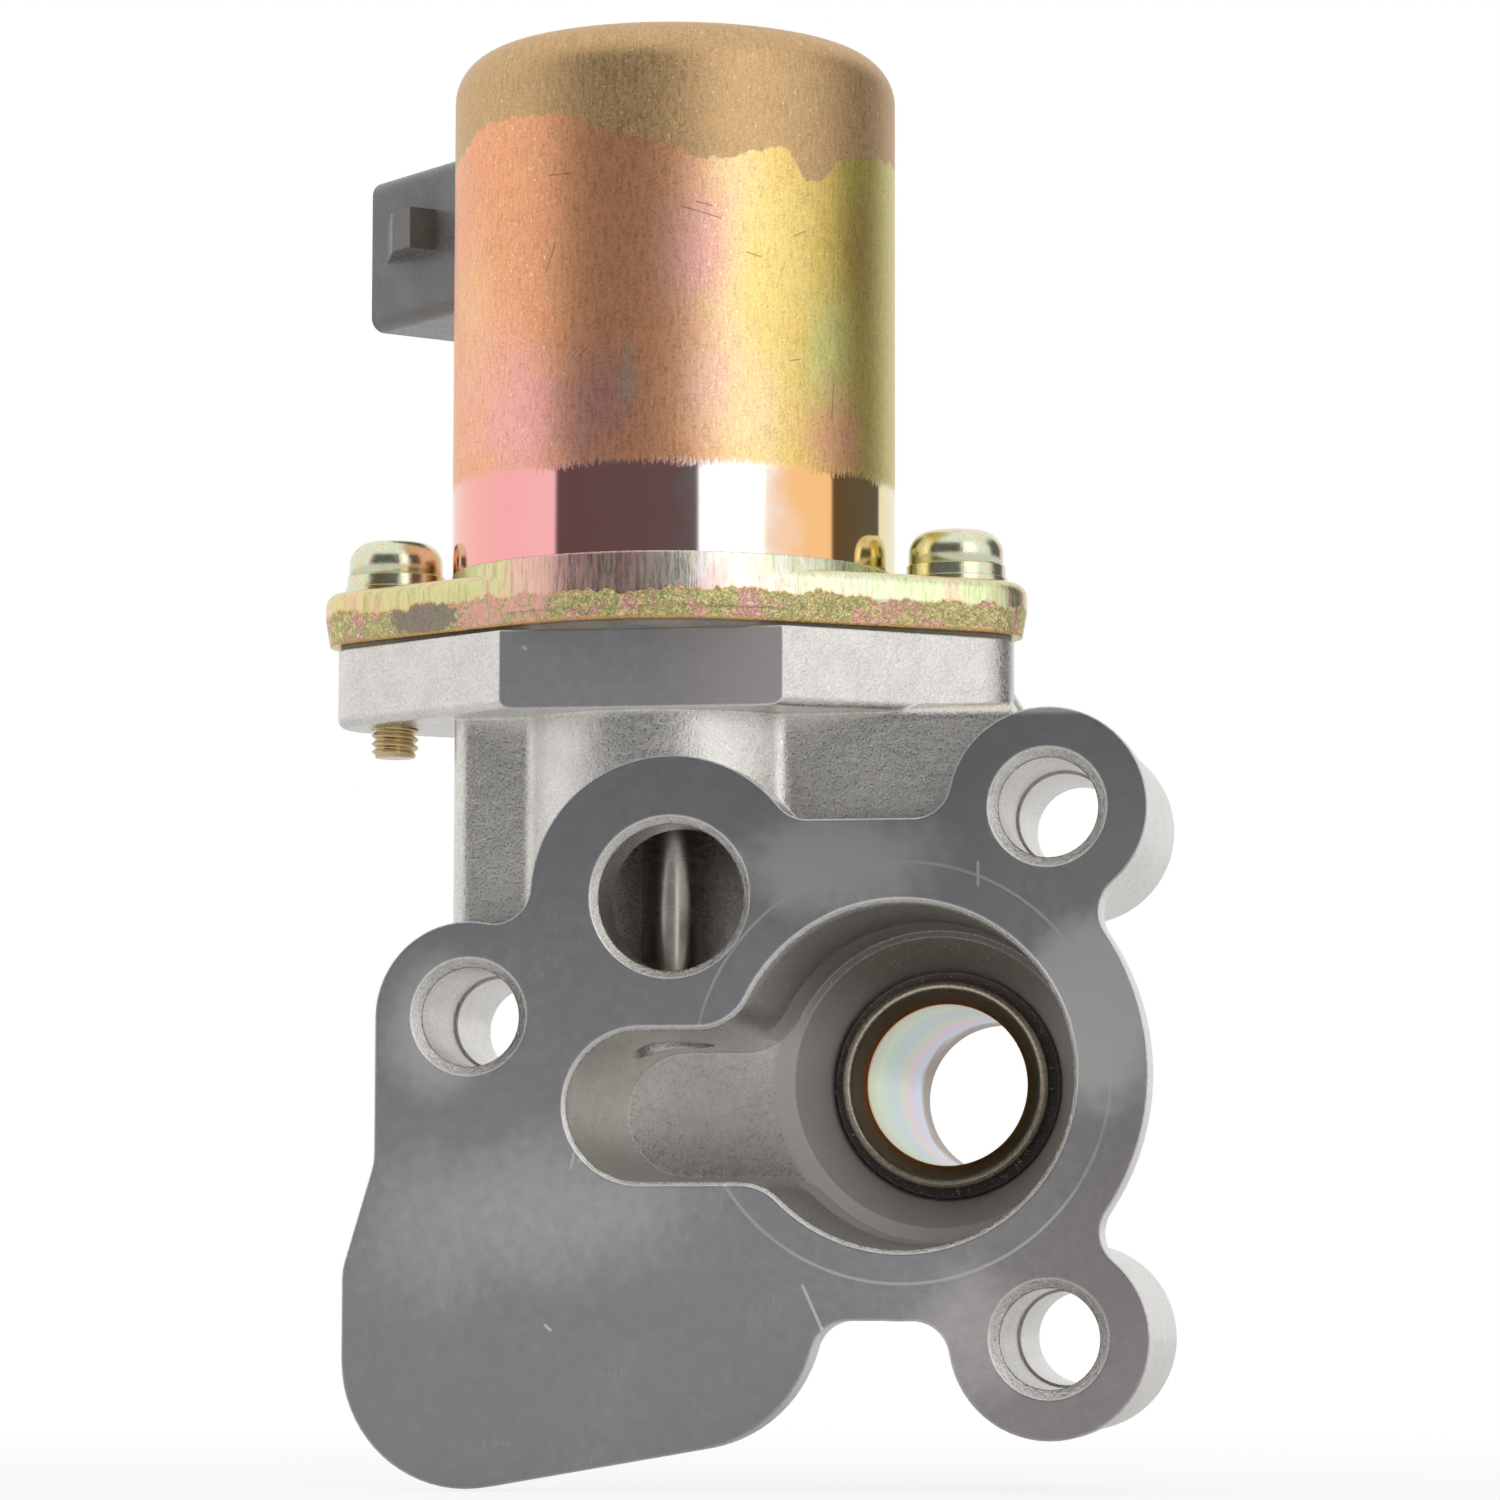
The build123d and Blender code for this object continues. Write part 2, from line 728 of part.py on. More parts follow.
def connector_housing():
    """The moulded socket with its latch bump, standing out of the can's window."""
    root = winding_radius + window_clearance
    body = Pos((root + connector_reach) / 2, 0, connector_z) * Box(
        connector_reach - root, 2 * connector_half_width, connector_height)
    body = fillet(body.edges().filter_by(Axis.X), connector_edge_radius)
    half = connector_half_width - socket_wall
    rise = connector_height / 2 - socket_wall
    x_range = (socket_floor, connector_reach + overrun)
    body -= block(x_range, (-half, half), (connector_z - rise, connector_z + rise))
    body += latch()
    for side in (-1, 1):
        body -= terminal_bar(side, fit_clearance)
    return at_connector(body)


def latch():
    """The catch on the socket's side: square towards the can, sloped towards the plug."""
    catch = connector_reach - latch_catch
    sketch = Polygon(
        (catch, connector_half_width - socket_wall / 2),
        (catch + latch_length + latch_ramp, connector_half_width - socket_wall / 2),
        (catch + latch_length + latch_ramp, connector_half_width),
        (catch + latch_length, connector_half_width + latch_reach),
        (catch, connector_half_width + latch_reach),
        align=None,
    )
    low = connector_z + latch_offset - latch_height / 2
    return extrude(Pos(0, 0, low) * sketch, amount=latch_height)


def terminal_bar(side, grow=0.0):
    """One flat terminal in the connector's own direction, made wider by a distance."""
    length = terminal_tip - terminal_root
    bar = Box(length, terminal_width + 2 * grow, terminal_height + 2 * grow)
    return Pos(terminal_root + length / 2, side * terminal_spacing / 2, connector_z) * bar


def terminal(side):
    """One blade terminal with a bevelled tip."""
    bar = terminal_bar(side)
    bar = chamfer(bar.faces().sort_by(Axis.X)[-1].edges(), terminal_bevel)
    return at_connector(bar)


def socket_seal():
    """The rubber seal that lies round the bottom of the socket."""
    wide = 2 * (connector_half_width - socket_wall - fit_clearance)
    tall = connector_height - 2 * (socket_wall + fit_clearance)
    frame = Box(seal_depth, wide, tall) - Box(seal_depth, wide - 2 * seal_wall, tall - 2 * seal_wall)
    return at_connector(Pos(socket_floor + fit_clearance + seal_depth / 2, 0, connector_z) * frame)


def main():
    """Builds every sub-part and writes it out."""
    save("valve_housing", valve_housing())
    save("inlet_tube", inlet_tube())
    save("flange_gasket", flange_gasket())
    save("mounting_flange", mounting_flange())
    save("solenoid_can", solenoid_can())
    for name, side in (("left", -1), ("right", 1)):
        save(f"flange_screw_{name}", flange_screw(side))
        save(f"spring_washer_{name}", spring_washer(side))
        save(f"plain_washer_{name}", plain_washer(side))
        save(f"terminal_{name}", terminal(side))
    save("valve_rod", valve_rod())
    save("valve_head", valve_head())
    save("retaining_clip", retaining_clip())
    save("rod_bush", rod_bush())
    save("plunger", plunger())
    save("fixed_core", fixed_core())
    save("guide_sleeve", guide_sleeve())
    save("coil_bobbin", coil_bobbin())
    save("coil_winding", coil_winding())
    save("seal_ring", seal_ring())
    save("return_spring", return_spring())
    save("connector_housing", connector_housing())
    save("socket_seal", socket_seal())


main()
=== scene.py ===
"""Dresses a packed idle air control valve for a studio picture.

The valve stands in its own frame, in metres: X to the right, Y into the depth, Z up along the
valve's axis, and the milled mounting face in the plane Y = 0. Sizes in this file are in
millimetres unless a name says otherwise, and MM turns them into metres.
"""
from __future__ import annotations

import logging
import math
from dataclasses import dataclass
from enum import Enum

import bpy
import numpy as np
from mathutils import Matrix

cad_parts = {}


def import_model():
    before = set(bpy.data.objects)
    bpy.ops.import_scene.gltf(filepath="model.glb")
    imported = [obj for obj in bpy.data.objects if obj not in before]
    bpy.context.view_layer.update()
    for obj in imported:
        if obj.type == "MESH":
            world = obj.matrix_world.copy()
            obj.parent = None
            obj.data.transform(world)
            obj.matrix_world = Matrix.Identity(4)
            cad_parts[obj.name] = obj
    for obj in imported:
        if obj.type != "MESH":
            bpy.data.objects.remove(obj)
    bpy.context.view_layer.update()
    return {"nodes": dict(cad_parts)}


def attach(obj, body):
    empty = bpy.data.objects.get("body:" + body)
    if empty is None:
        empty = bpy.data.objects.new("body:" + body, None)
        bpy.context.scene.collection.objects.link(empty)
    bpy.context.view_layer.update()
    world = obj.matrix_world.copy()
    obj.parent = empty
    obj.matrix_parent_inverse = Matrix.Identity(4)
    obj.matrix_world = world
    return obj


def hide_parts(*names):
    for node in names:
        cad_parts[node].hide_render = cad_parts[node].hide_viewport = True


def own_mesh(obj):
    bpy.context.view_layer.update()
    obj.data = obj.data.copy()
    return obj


LOG = logging.getLogger("air_valve")
MM = 0.001
AXIS_DEPTH = 14.8

Pair = tuple[float, float]
Colour = tuple[float, float, float]
Stops = tuple[tuple[float, Colour], ...]
Strokes = tuple[tuple[float, float, float, float], ...]
Socket = bpy.types.NodeSocket
Material = bpy.types.Material
Piece = bpy.types.Object
Nodes = dict[str, Piece]
Signal = "Term | Socket | float | Colour"
Outfit = "tuple[tuple[Finish, tuple[str, ...]], ...]"


class Calc(Enum):
    """The sums that a node graph uses."""

    ADD = "ADD"
    SUBTRACT = "SUBTRACT"
    MULTIPLY = "MULTIPLY"
    DIVIDE = "DIVIDE"
    SQRT = "SQRT"
    ABSOLUTE = "ABSOLUTE"
    MINIMUM = "MINIMUM"
    MAXIMUM = "MAXIMUM"
    SINE = "SINE"
    ARCTAN2 = "ARCTAN2"


@dataclass(frozen=True)
class Clouds:
    """The look of a noise: its scale, how many finer layers it has, and how strong they are."""

    scale: float
    layers: float = 3.0
    rough: float = 0.5


class Term:
    """A node's output, written in plain sums with other terms and numbers."""

    def __init__(self, graph: Graph, socket: Socket) -> None:
        """Keeps the graph that gets the sums' nodes, and the output."""
        self.graph = graph
        self.socket = socket

    def __add__(self, other: Signal) -> Term:
        """Adds a number to the term."""
        return self.graph.sum(Calc.ADD, self, other)

    def __radd__(self, other: Signal) -> Term:
        """Adds the term to a number."""
        return self.graph.sum(Calc.ADD, other, self)

    def __sub__(self, other: Signal) -> Term:
        """Takes a number from the term."""
        return self.graph.sum(Calc.SUBTRACT, self, other)

    def __rsub__(self, other: Signal) -> Term:
        """Takes the term from a number."""
        return self.graph.sum(Calc.SUBTRACT, other, self)

    def __mul__(self, other: Signal) -> Term:
        """Multiplies the term by a number."""
        return self.graph.sum(Calc.MULTIPLY, self, other)

    def __rmul__(self, other: Signal) -> Term:
        """Multiplies a number by the term."""
        return self.graph.sum(Calc.MULTIPLY, other, self)

    def __truediv__(self, other: Signal) -> Term:
        """Divides the term by a number."""
        return self.graph.sum(Calc.DIVIDE, self, other)


class Graph:
    """Writes one shader node tree, one short call for each node."""

    def __init__(self, tree: bpy.types.NodeTree) -> None:
        """Empties the tree and keeps it.

        Args:
            tree: The node tree of a material or of the world.
        """
        self.tree = tree
        tree.nodes.clear()

    def node(self, kind: str, **settings: object) -> bpy.types.Node:
        """Adds a node.

        Args:
            kind: The node's Blender type.
            settings: Properties to set on it.

        Returns:
            The new node.
        """
        made = self.tree.nodes.new(kind)
        for name, value in settings.items():
            setattr(made, name, value)
        return made

    def feed(self, socket: Socket, signal: Signal) -> None:
        """Links a socket to a signal, or sets it to a plain value.

        Args:
            socket: The input to feed.
            signal: A term, another node's output, a number or a colour.
        """
        if isinstance(signal, Term):
            signal = signal.socket
        if isinstance(signal, Socket):
            self.tree.links.new(signal, socket)
        elif isinstance(signal, tuple) and socket.type == "RGBA":
            socket.default_value = (*signal, 1.0)
        else:
            socket.default_value = signal

    def term(self, kind: str, inputs: dict[str | int, Signal], output: str | int = 0,
             **settings: object) -> Term:
        """Adds a node, feeds its inputs and gives one of its outputs.

        Args:
            kind: The node's Blender type.
            inputs: A signal for each input, by name or number.
            output: The output's name or number.
            settings: Properties to set on the node.

        Returns:
            The output.
        """
        made = self.node(kind, **settings)
        for key, signal in inputs.items():
            self.feed(made.inputs[key], signal)
        return Term(self, made.outputs[output])

    def sum(self, calc: Calc, first: Signal, second: Signal = 0.0) -> Term:
        """Works out one sum of two numbers.

        Args:
            calc: Which sum.
            first: The first number.
            second: The second number.

        Returns:
            The result.
        """
        return self.term("ShaderNodeMath", {0: first, 1: second}, operation=calc.value)

    def span(self, signal: Signal, low: float, high: float, start: float = 0.0,
             end: float = 1.0) -> Term:
        """Eases a number from start to end while the signal goes from low to high.

        Args:
            signal: The number that is read.
            low: Where the ease begins.
            high: Where it ends.
            start: The result below low.
            end: The result above high.

        Returns:
            The eased number.
        """
        ends = {"From Min": low, "From Max": high, "To Min": start, "To Max": end}
        return self.term("ShaderNodeMapRange", {"Value": signal, **ends}, "Result",
                         interpolation_type="SMOOTHSTEP")

    def fall(self, signal: Signal, low: float, high: float) -> Term:
        """Eases from 1 to 0 while the signal goes from low to high."""
        return self.span(signal, low, high, 1.0, 0.0)

    def window(self, signal: Signal, low: float, high: float, soft: float) -> Term:
        """Gives 1 between two values and 0 outside them, with soft ends.

        Args:
            signal: The number that is read.
            low: The lower end.
            high: The upper end.
            soft: The width of each soft end.

        Returns:
            The mask.
        """
        rise = self.span(signal, low - soft / 2, low + soft / 2)
        return rise * self.fall(signal, high - soft / 2, high + soft / 2)

    def blend(self, factor: Signal, first: Signal, second: Signal, how: str = "MIX") -> Term:
        """Mixes two colours.

        Args:
            factor: 0 gives the first colour, 1 the second.
            first: The first colour.
            second: The second colour.
            how: Blender's name for the way of mixing.

        Returns:
            The mixed colour.
        """
        return self.term("ShaderNodeMix", {"Factor": factor, 6: first, 7: second}, 2,
                         data_type="RGBA", blend_type=how)

    def shaded(self, colour: Signal, shade: Signal) -> Term:
        """Multiplies a colour by a shade of grey."""
        return self.blend(1.0, colour, self.join(shade, shade, shade), "MULTIPLY")

    def between(self, factor: Signal, first: Signal, second: Signal) -> Term:
        """Mixes two numbers.

        Args:
            factor: 0 gives the first number, 1 the second.
            first: The first number.
            second: The second number.

        Returns:
            The mixed number.
        """
        return self.term("ShaderNodeMix", {"Factor": factor, 2: first, 3: second},
                         data_type="FLOAT")

    def ramp(self, signal: Signal, stops: Stops) -> Term:
        """Turns a number into a colour along a row of stops.

        Args:
            signal: The number, from 0 to 1.
            stops: Place and colour of each stop, in rising order.

        Returns:
            The colour.
        """
        made = self.node("ShaderNodeValToRGB")
        elements = made.color_ramp.elements
        while len(elements) < len(stops):
            elements.new(0.5)
        for element, (place, colour) in zip(elements, stops):
            element.position = place
            element.color = (*colour, 1.0)
        self.feed(made.inputs[0], signal)
        return Term(self, made.outputs["Color"])

    def curve(self, signal: Signal, points: tuple[Pair, ...]) -> Term:
        """Reads a smooth curve through a few points.

        Args:
            signal: The number, from 0 to 1.
            points: The curve's points, both numbers from 0 to 1.

        Returns:
            The curve's height.
        """
        made = self.node("ShaderNodeFloatCurve")
        line = made.mapping.curves[0]
        while len(line.points) < len(points):
            line.points.new(0.5, 0.5)
        for point, place in zip(line.points, points):
            point.location = place
        made.mapping.update()
        self.feed(made.inputs["Value"], signal)
        return Term(self, made.outputs["Value"])

    def join(self, x: Signal, y: Signal, z: Signal) -> Term:
        """Makes a vector of three numbers."""
        return self.term("ShaderNodeCombineXYZ", {0: x, 1: y, 2: z})

    def split(self, vector: Signal) -> tuple[Term, ...]:
        """Takes a vector apart into its three numbers."""
        made = self.node("ShaderNodeSeparateXYZ")
        self.feed(made.inputs[0], vector)
        return tuple(Term(self, output) for output in made.outputs)

    def scaled(self, vector: Signal, factor: Signal) -> Term:
        """Makes a vector longer by a factor."""
        return self.term("ShaderNodeVectorMath", {0: vector, "Scale": factor}, operation="SCALE")

    def noise(self, place: Signal, look: Clouds) -> Term:
        """Reads cloudy noise.

        Args:
            place: The vector at which it is read.
            look: The noise's scale and layers, with the scale for each unit of that vector.

        Returns:
            The noise as a number from 0 to 1.
        """
        numbers = {"Scale": look.scale, "Detail": look.layers, "Roughness": look.rough}
        return self.term("ShaderNodeTexNoise", {"Vector": place, **numbers}, "Fac", normalize=True)

    def cracks(self, place: Signal, scale: float) -> Term:
        """Gives the distance to the nearest border between random cells."""
        return self.term("ShaderNodeTexVoronoi", {"Vector": place, "Scale": scale}, "Distance",
                         feature="DISTANCE_TO_EDGE")

    def bump(self, height: Signal, depth: float, normal: Signal | None = None) -> Term:
        """Tilts the shading by a height.

        Args:
            height: The height, where 1 stands for depth.
            depth: The depth in millimetres.
            normal: A normal to start from.

        Returns:
            The tilted normal.
        """
        inputs = {"Strength": 1.0, "Distance": depth * MM, "Height": height}
        if normal is not None:
            inputs["Normal"] = normal
        return self.term("ShaderNodeBump", inputs, "Normal")

    def rounded(self, radius: float) -> Term:
        """Rounds the sharp edges in the shading, by a radius in millimetres."""
        return self.term("ShaderNodeBevel", {"Radius": radius * MM}, samples=6)


class SurfaceGraph(Graph):
    """The node graph of one material, with the places that its patterns read."""

    def __init__(self, name: str) -> None:
        """Makes the material and its places in millimetres.

        Args:
            name: The material's name.
        """
        self.material = bpy.data.materials.new(name)
        self.material.use_nodes = True
        super().__init__(self.material.node_tree)
        coordinates = self.node("ShaderNodeTexCoord")
        self.place = self.scaled(coordinates.outputs["Object"], 1.0 / MM)
        self.x, self.y, self.z = self.split(self.place)
        geometry = self.node("ShaderNodeNewGeometry")
        self.facing = self.split(geometry.outputs["Normal"])

    def ring(self, x: float, z: float) -> Term:
        """Gives the distance from a line along Y through (x, z)."""
        across = self.x - x
        up = self.z - z
        return self.length(across, up)

    def length(self, first: Signal, second: Signal) -> Term:
        """Gives the root of the sum of two squares."""
        squares = first * first + second * second
        return self.sum(Calc.SQRT, squares)

    def bearing(self) -> Term:
        """Gives the turn about the valve's axis: 0.5 in front (-Y), rising to the right up to 1."""
        turn = self.sum(Calc.ARCTAN2, self.x, AXIS_DEPTH - self.y)
        return turn / (2 * math.pi) + 0.5

    def stroke(self, u: Signal, v: Signal, ends: tuple[float, ...], width: float) -> Term:
        """Marks one straight scratch between two places.

        Args:
            u: The first coordinate, in millimetres.
            v: The second coordinate.
            ends: Both coordinates of the start, then of the end.
            width: The scratch's width.

        Returns:
            The mark from 0 to 1.
        """
        run, rise = ends[2] - ends[0], ends[3] - ends[1]
        size = run * run + rise * rise
        from_u = u - ends[0]
        from_v = v - ends[1]
        along = from_u * (run / size) + from_v * (rise / size)
        along = self.sum(Calc.MINIMUM, self.sum(Calc.MAXIMUM, along, 0.0), 1.0)
        off_u = from_u - along * run
        off_v = from_v - along * rise
        return self.fall(self.length(off_u, off_v), 0.25 * width, 0.6 * width)

    def spot(self, u: Signal, v: Signal, centre: Pair, reach: Pair,
             ragged: Signal) -> Term:
        """Marks a soft oval patch.

        Args:
            u: The first coordinate.
            v: The second coordinate.
            centre: The patch's middle.
            reach: Its half sizes.
            ragged: Noise about 0.5 that frays its rim.

        Returns:
            The mark from 0 to 1.
        """
        across = (u - centre[0]) / reach[0]
        up = (v - centre[1]) / reach[1]
        far = self.length(across, up) + (ragged - 0.5)
        return self.fall(far, 0.1, 1.1)

    def finish(self, colour: Signal, rough: Signal, metal: Signal, normal: Signal | None = None,
               **others: float) -> Material:
        """Closes the graph with a principled shader.

        Args:
            colour: The base colour.
            rough: The roughness.
            metal: How metallic the surface is.
            normal: The shading normal.
            others: Plain values for the shader's other inputs, by name with _ for a space.

        Returns:
            The finished material.
        """
        shader = self.node("ShaderNodeBsdfPrincipled")
        self.feed(shader.inputs["Base Color"], colour)
        self.feed(shader.inputs["Roughness"], rough)
        self.feed(shader.inputs["Metallic"], metal)
        if normal is not None:
            self.feed(shader.inputs["Normal"], normal)
        for name, value in others.items():
            shader.inputs[name.replace("_", " ")].default_value = value
        out = self.node("ShaderNodeOutputMaterial")
        self.tree.links.new(shader.outputs[0], out.inputs["Surface"])
        return self.material


class Finish:
    """A surface finish that builds its own material."""

    def build(self) -> Material:
        """Builds the material."""
        raise NotImplementedError


@dataclass(frozen=True)
class CastHousingFinish(Finish):
    """Die-cast aluminium with a milled face, bevelled bores and a scribed circle."""

    cast_colour: Colour = (0.82, 0.79, 0.755)
    cast_shade: Colour = (0.62, 0.60, 0.57)
    milled_colour: Colour = (0.96, 0.96, 0.96)
    milled_shade: Colour = (0.50, 0.505, 0.525)
    mauve: Colour = (0.84, 0.74, 0.73)
    # White for the scribed circle and nicks, and for the painted glints and edge highlights.
    bright: Colour = (0.98, 0.98, 0.97)
    upper_wall_brown: Colour = (0.30, 0.255, 0.22)
    # Painted sheen on the milled face: x, z, half width, half height and strength of each bright
    # patch.
    painted_sheen_patches: tuple[tuple[float, float, float, float, float], ...] = (
        (37.6, 27.0, 6.0, 7.0, 1.10),
        (16.0, 38.0, 9.0, 4.5, 0.95),
        (-6.5, 11.0, 15.0, 7.0, 0.50),
        (-16.5, 25.0, 5.0, 6.0, 0.80),
        (-17.0, 9.0, 7.0, 9.0, 0.40),
        (26.5, 1.5, 6.0, 7.0, 0.60),
    )
    nicks: Strokes = (
        (27.78, 38.27, 27.78, 36.41),
        (-5.3, 15.0, -5.6, 13.7),
        (-4.6, 15.0, -4.9, 14.2),
        (13.5, 4.2, 16.3, -2.0),
        (27.2, 10.6, 27.0, 8.8),
        (-7.66, 1.0, -7.2, 0.6),
        (38.9, 35.6, 39.6, 35.0),
        (-9.8, 56.4, -9.6, 56.2),
    )
    nick_width: float = 0.28
    face_depth: float = 0.06
    pocket: Pair = (21.48, 21.38)
    pocket_radius: float = 14.2
    bore_front: float = 15.6
    bore_tone: Colour = (0.86, 0.85, 0.83)
    bore_metal: float = 0.12
    # Painted shade tone for the lower left of the milled face.
    painted_low_shade_tone: Colour = (0.30, 0.30, 0.32)
    # Painted shadow: a dark ring on the counterbore floor around the tube's lip, inner and outer
    # radius.
    painted_lip_shadow: Pair = (8.2, 9.9)
    painted_lip_shadow_tone: Colour = (0.11, 0.10, 0.085)
    scribe_radius: float = 17.0
    scribe_width: float = 0.12
    block_low: float = 50.0
    # Painted sheen tone for the block's milled flat.
    block_sheen_tone: Colour = (0.99, 0.90, 0.92)
    arcs_per_mm: float = 4.0
    arcs: Clouds = Clouds(1.0, 3.0, 0.7)
    grain: Clouds = Clouds(4.6, 2.0, 0.75)
    patches: Clouds = Clouds(0.4, 3.0, 0.6)
    cast_glint_clouds: Clouds = Clouds(3.2, 3.0, 0.85)
    lumps: Clouds = Clouds(1.3, 2.0)
    clouding: Clouds = Clouds(0.07, 4.0, 0.65)
    smears: Clouds = Clouds(0.9, 4.0, 0.7)
    handling: Clouds = Clouds(1.0, 2.0)
    handled: Clouds = Clouds(0.16, 2.0)
    edge_radius: float = 0.28
    bump_depth: float = 0.075
    brushing: float = 0.35

    def build(self) -> Material:
        """Builds the housing's material.

        Returns:
            The material.
        """
        g = SurfaceGraph("cast_and_milled_aluminium")
        forward = g.facing[1] * -1.0
        milled = g.span(forward, 0.96, 0.99) * g.fall(g.y, self.face_depth, 2 * self.face_depth)
        across = g.x - self.pocket[0]
        up = g.z - self.pocket[1]
        radius = g.length(across, up)
        normal, painted_edge_highlight = self.edges(g)
        arcs = g.noise(g.join(radius * self.arcs_per_mm, across / radius, up / radius), self.arcs)
        milled_tone = self.milled_tone(g, radius, arcs)
        grain = g.noise(g.place, self.grain)
        blotch = grain * 0.75 + g.noise(g.place, self.patches) * 0.25
        cast_tone = g.blend(g.span(blotch, 0.36, 0.62), self.cast_shade, self.cast_colour)
        bore = g.fall(radius, self.pocket_radius - 0.3, self.pocket_radius)
        bore = bore * g.span(g.y, self.bore_front, self.bore_front + 0.4)
        cast_tone = g.blend(bore * 0.8, cast_tone, self.bore_tone)
        # Painted shadow around the tube's lip.
        painted_lip_shadow = g.window(radius, *self.painted_lip_shadow, 0.4) * bore
        cast_tone = g.blend(painted_lip_shadow, cast_tone, self.painted_lip_shadow_tone)
        cast_tone = g.blend(self.upper_wall_darkening(g, up, radius), cast_tone, self.upper_wall_brown)
        colour = g.blend(milled, cast_tone, milled_tone)
        # Painted glints: bright specks on the cast surfaces.
        painted_cast_glint = g.span(g.noise(g.place, self.cast_glint_clouds), 0.60, 0.68)
        colour = g.blend((1.0 - milled) * (painted_cast_glint * 0.75), colour, self.bright)
        # Painted highlight: bright, speckled lines along the edges.
        colour = g.blend(painted_edge_highlight * g.span(grain, 0.34, 0.6, 0.25, 1.0), colour, self.bright)
        milled_rough = g.span(g.z, self.block_low, self.block_low + 0.5, 0.25, 0.36)
        rough = g.between(milled, g.span(grain, 0.3, 0.7, 0.24, 0.38), milled_rough)
        rough = g.between(g.sum(Calc.MAXIMUM, painted_edge_highlight, bore * 0.8), rough, 0.5)
        cast_height = grain * 0.5 + g.noise(g.place, self.lumps) * 0.5
        height = g.between(milled, cast_height, arcs * 0.008)
        metal = g.between(bore, 1.0, self.bore_metal)
        tilted = g.bump(height, self.bump_depth, normal)
        made = g.finish(colour, rough, metal, tilted, Anisotropic=self.brushing)
        shader = next(n for n in g.tree.nodes if n.type == "BSDF_PRINCIPLED")
        g.feed(shader.inputs["Tangent"], g.join(up * -1.0, 0.0, across))
        return made

    def edges(self, g: SurfaceGraph) -> tuple[Term, Term]:
        """Rounds the edges in the shading, and marks them where the rounded normal leans over, for
        a painted edge highlight.

        Args:
            g: The graph to write in.

        Returns:
            The rounded normal, and the mask of the painted edge highlight from 0 to 1.
        """
        normal = g.rounded(self.edge_radius)
        lean = g.term("ShaderNodeVectorMath", {0: normal, 1: g.join(*g.facing)}, "Value",
                      operation="DOT_PRODUCT")
        return normal, g.fall(lean, 0.80, 0.97)

    def milled_tone(self, g: SurfaceGraph, radius: Term, arcs: Term) -> Term:
        """Gives the milled face's colour: painted sheen patches, faint arcs, a scribed circle and
        nicks.

        Args:
            g: The graph to write in.
            radius: The distance from the pocket's centre.
            arcs: The cutter's fine arcs.

        Returns:
            The colour.
        """
        clouds = g.noise(g.place, self.clouding)
        fine = g.noise(g.place, self.smears)
        # Random cloudy tone, raised by the painted sheen patches.
        clear = clouds * 0.35
        for x, z, half_width, half_height, strength in self.painted_sheen_patches:
            patch = g.spot(g.x, g.z, (x, z), (1.5 * half_width, 1.5 * half_height), clouds)
            clear = g.sum(Calc.MAXIMUM, clear, patch * strength)
        tone = clear + (arcs - 0.5) * 0.16 + (fine - 0.5) * 0.45
        colour = g.blend(g.span(tone, 0.0, 0.85), self.milled_shade, self.milled_colour)
        # Painted shade: the milled face is darker towards the bottom left.
        painted_low_shade = g.span(g.z, -10.0, 12.0, 0.5, 0.0) * g.fall(g.x, 14.0, 22.0)
        colour = g.blend(painted_low_shade, colour, self.painted_low_shade_tone)
        low_right = g.span(g.x - g.z, 4.0, 36.0, 0.0, 0.8)
        # Painted sheen: the block's milled flat takes the mauve tint and is painted pinkish-bright,
        # more so to the right.
        block_tint_and_sheen = g.span(g.z, self.block_low, self.block_low + 0.5) * g.span(g.x, -2.0, 12.0)
        colour = g.blend(g.sum(Calc.MAXIMUM, low_right, block_tint_and_sheen), colour, self.mauve, "MULTIPLY")
        colour = g.blend(block_tint_and_sheen * 0.7, colour, self.block_sheen_tone)
        line = (self.scribe_radius - self.scribe_width, self.scribe_radius + self.scribe_width)
        scribe = g.window(radius, *line, 0.1)
        colour = g.blend(scribe * g.span(clouds, 0.3, 0.6, 0.25, 0.7), colour, self.bright)
        marks = self.scratches(g)
        for nick in self.nicks:
            marks = g.sum(Calc.MAXIMUM, marks, g.stroke(g.x, g.z, nick, self.nick_width))
        return g.blend(marks, colour, self.bright)

    def upper_wall_darkening(self, g: SurfaceGraph, up: Term, radius: Term) -> Term:
        """Gives the darker brown on the pocket's upper wall, stronger higher up and further in.

        Args:
            g: The graph to write in.
            up: The height above the pocket's centre.
            radius: The distance from it.

        Returns:
            The darkening from 0 to 1.
        """
        wall = g.fall(radius, self.pocket_radius, self.pocket_radius + 0.6)
        upper = g.span(up, 2.0, 11.0)
        depth = g.span(g.y, 0.6, 2.5)
        return wall * upper * (depth * 0.92)

    def scratches(self, g: SurfaceGraph) -> Term:
        """Gives sparse handling marks: thin ridges of stretched noise, kept where another is high.

        Args:
            g: The graph to write in.

        Returns:
            The marks as a number from 0 to 1.
        """
        line = g.noise(g.join(g.x * 2.6, 0.0, g.z * 0.35), self.handling)
        ridge = g.window(line, 0.497, 0.503, 0.004)
        keep = g.span(g.noise(g.place, self.handled), 0.6, 0.68)
        return ridge * (keep * 0.5)


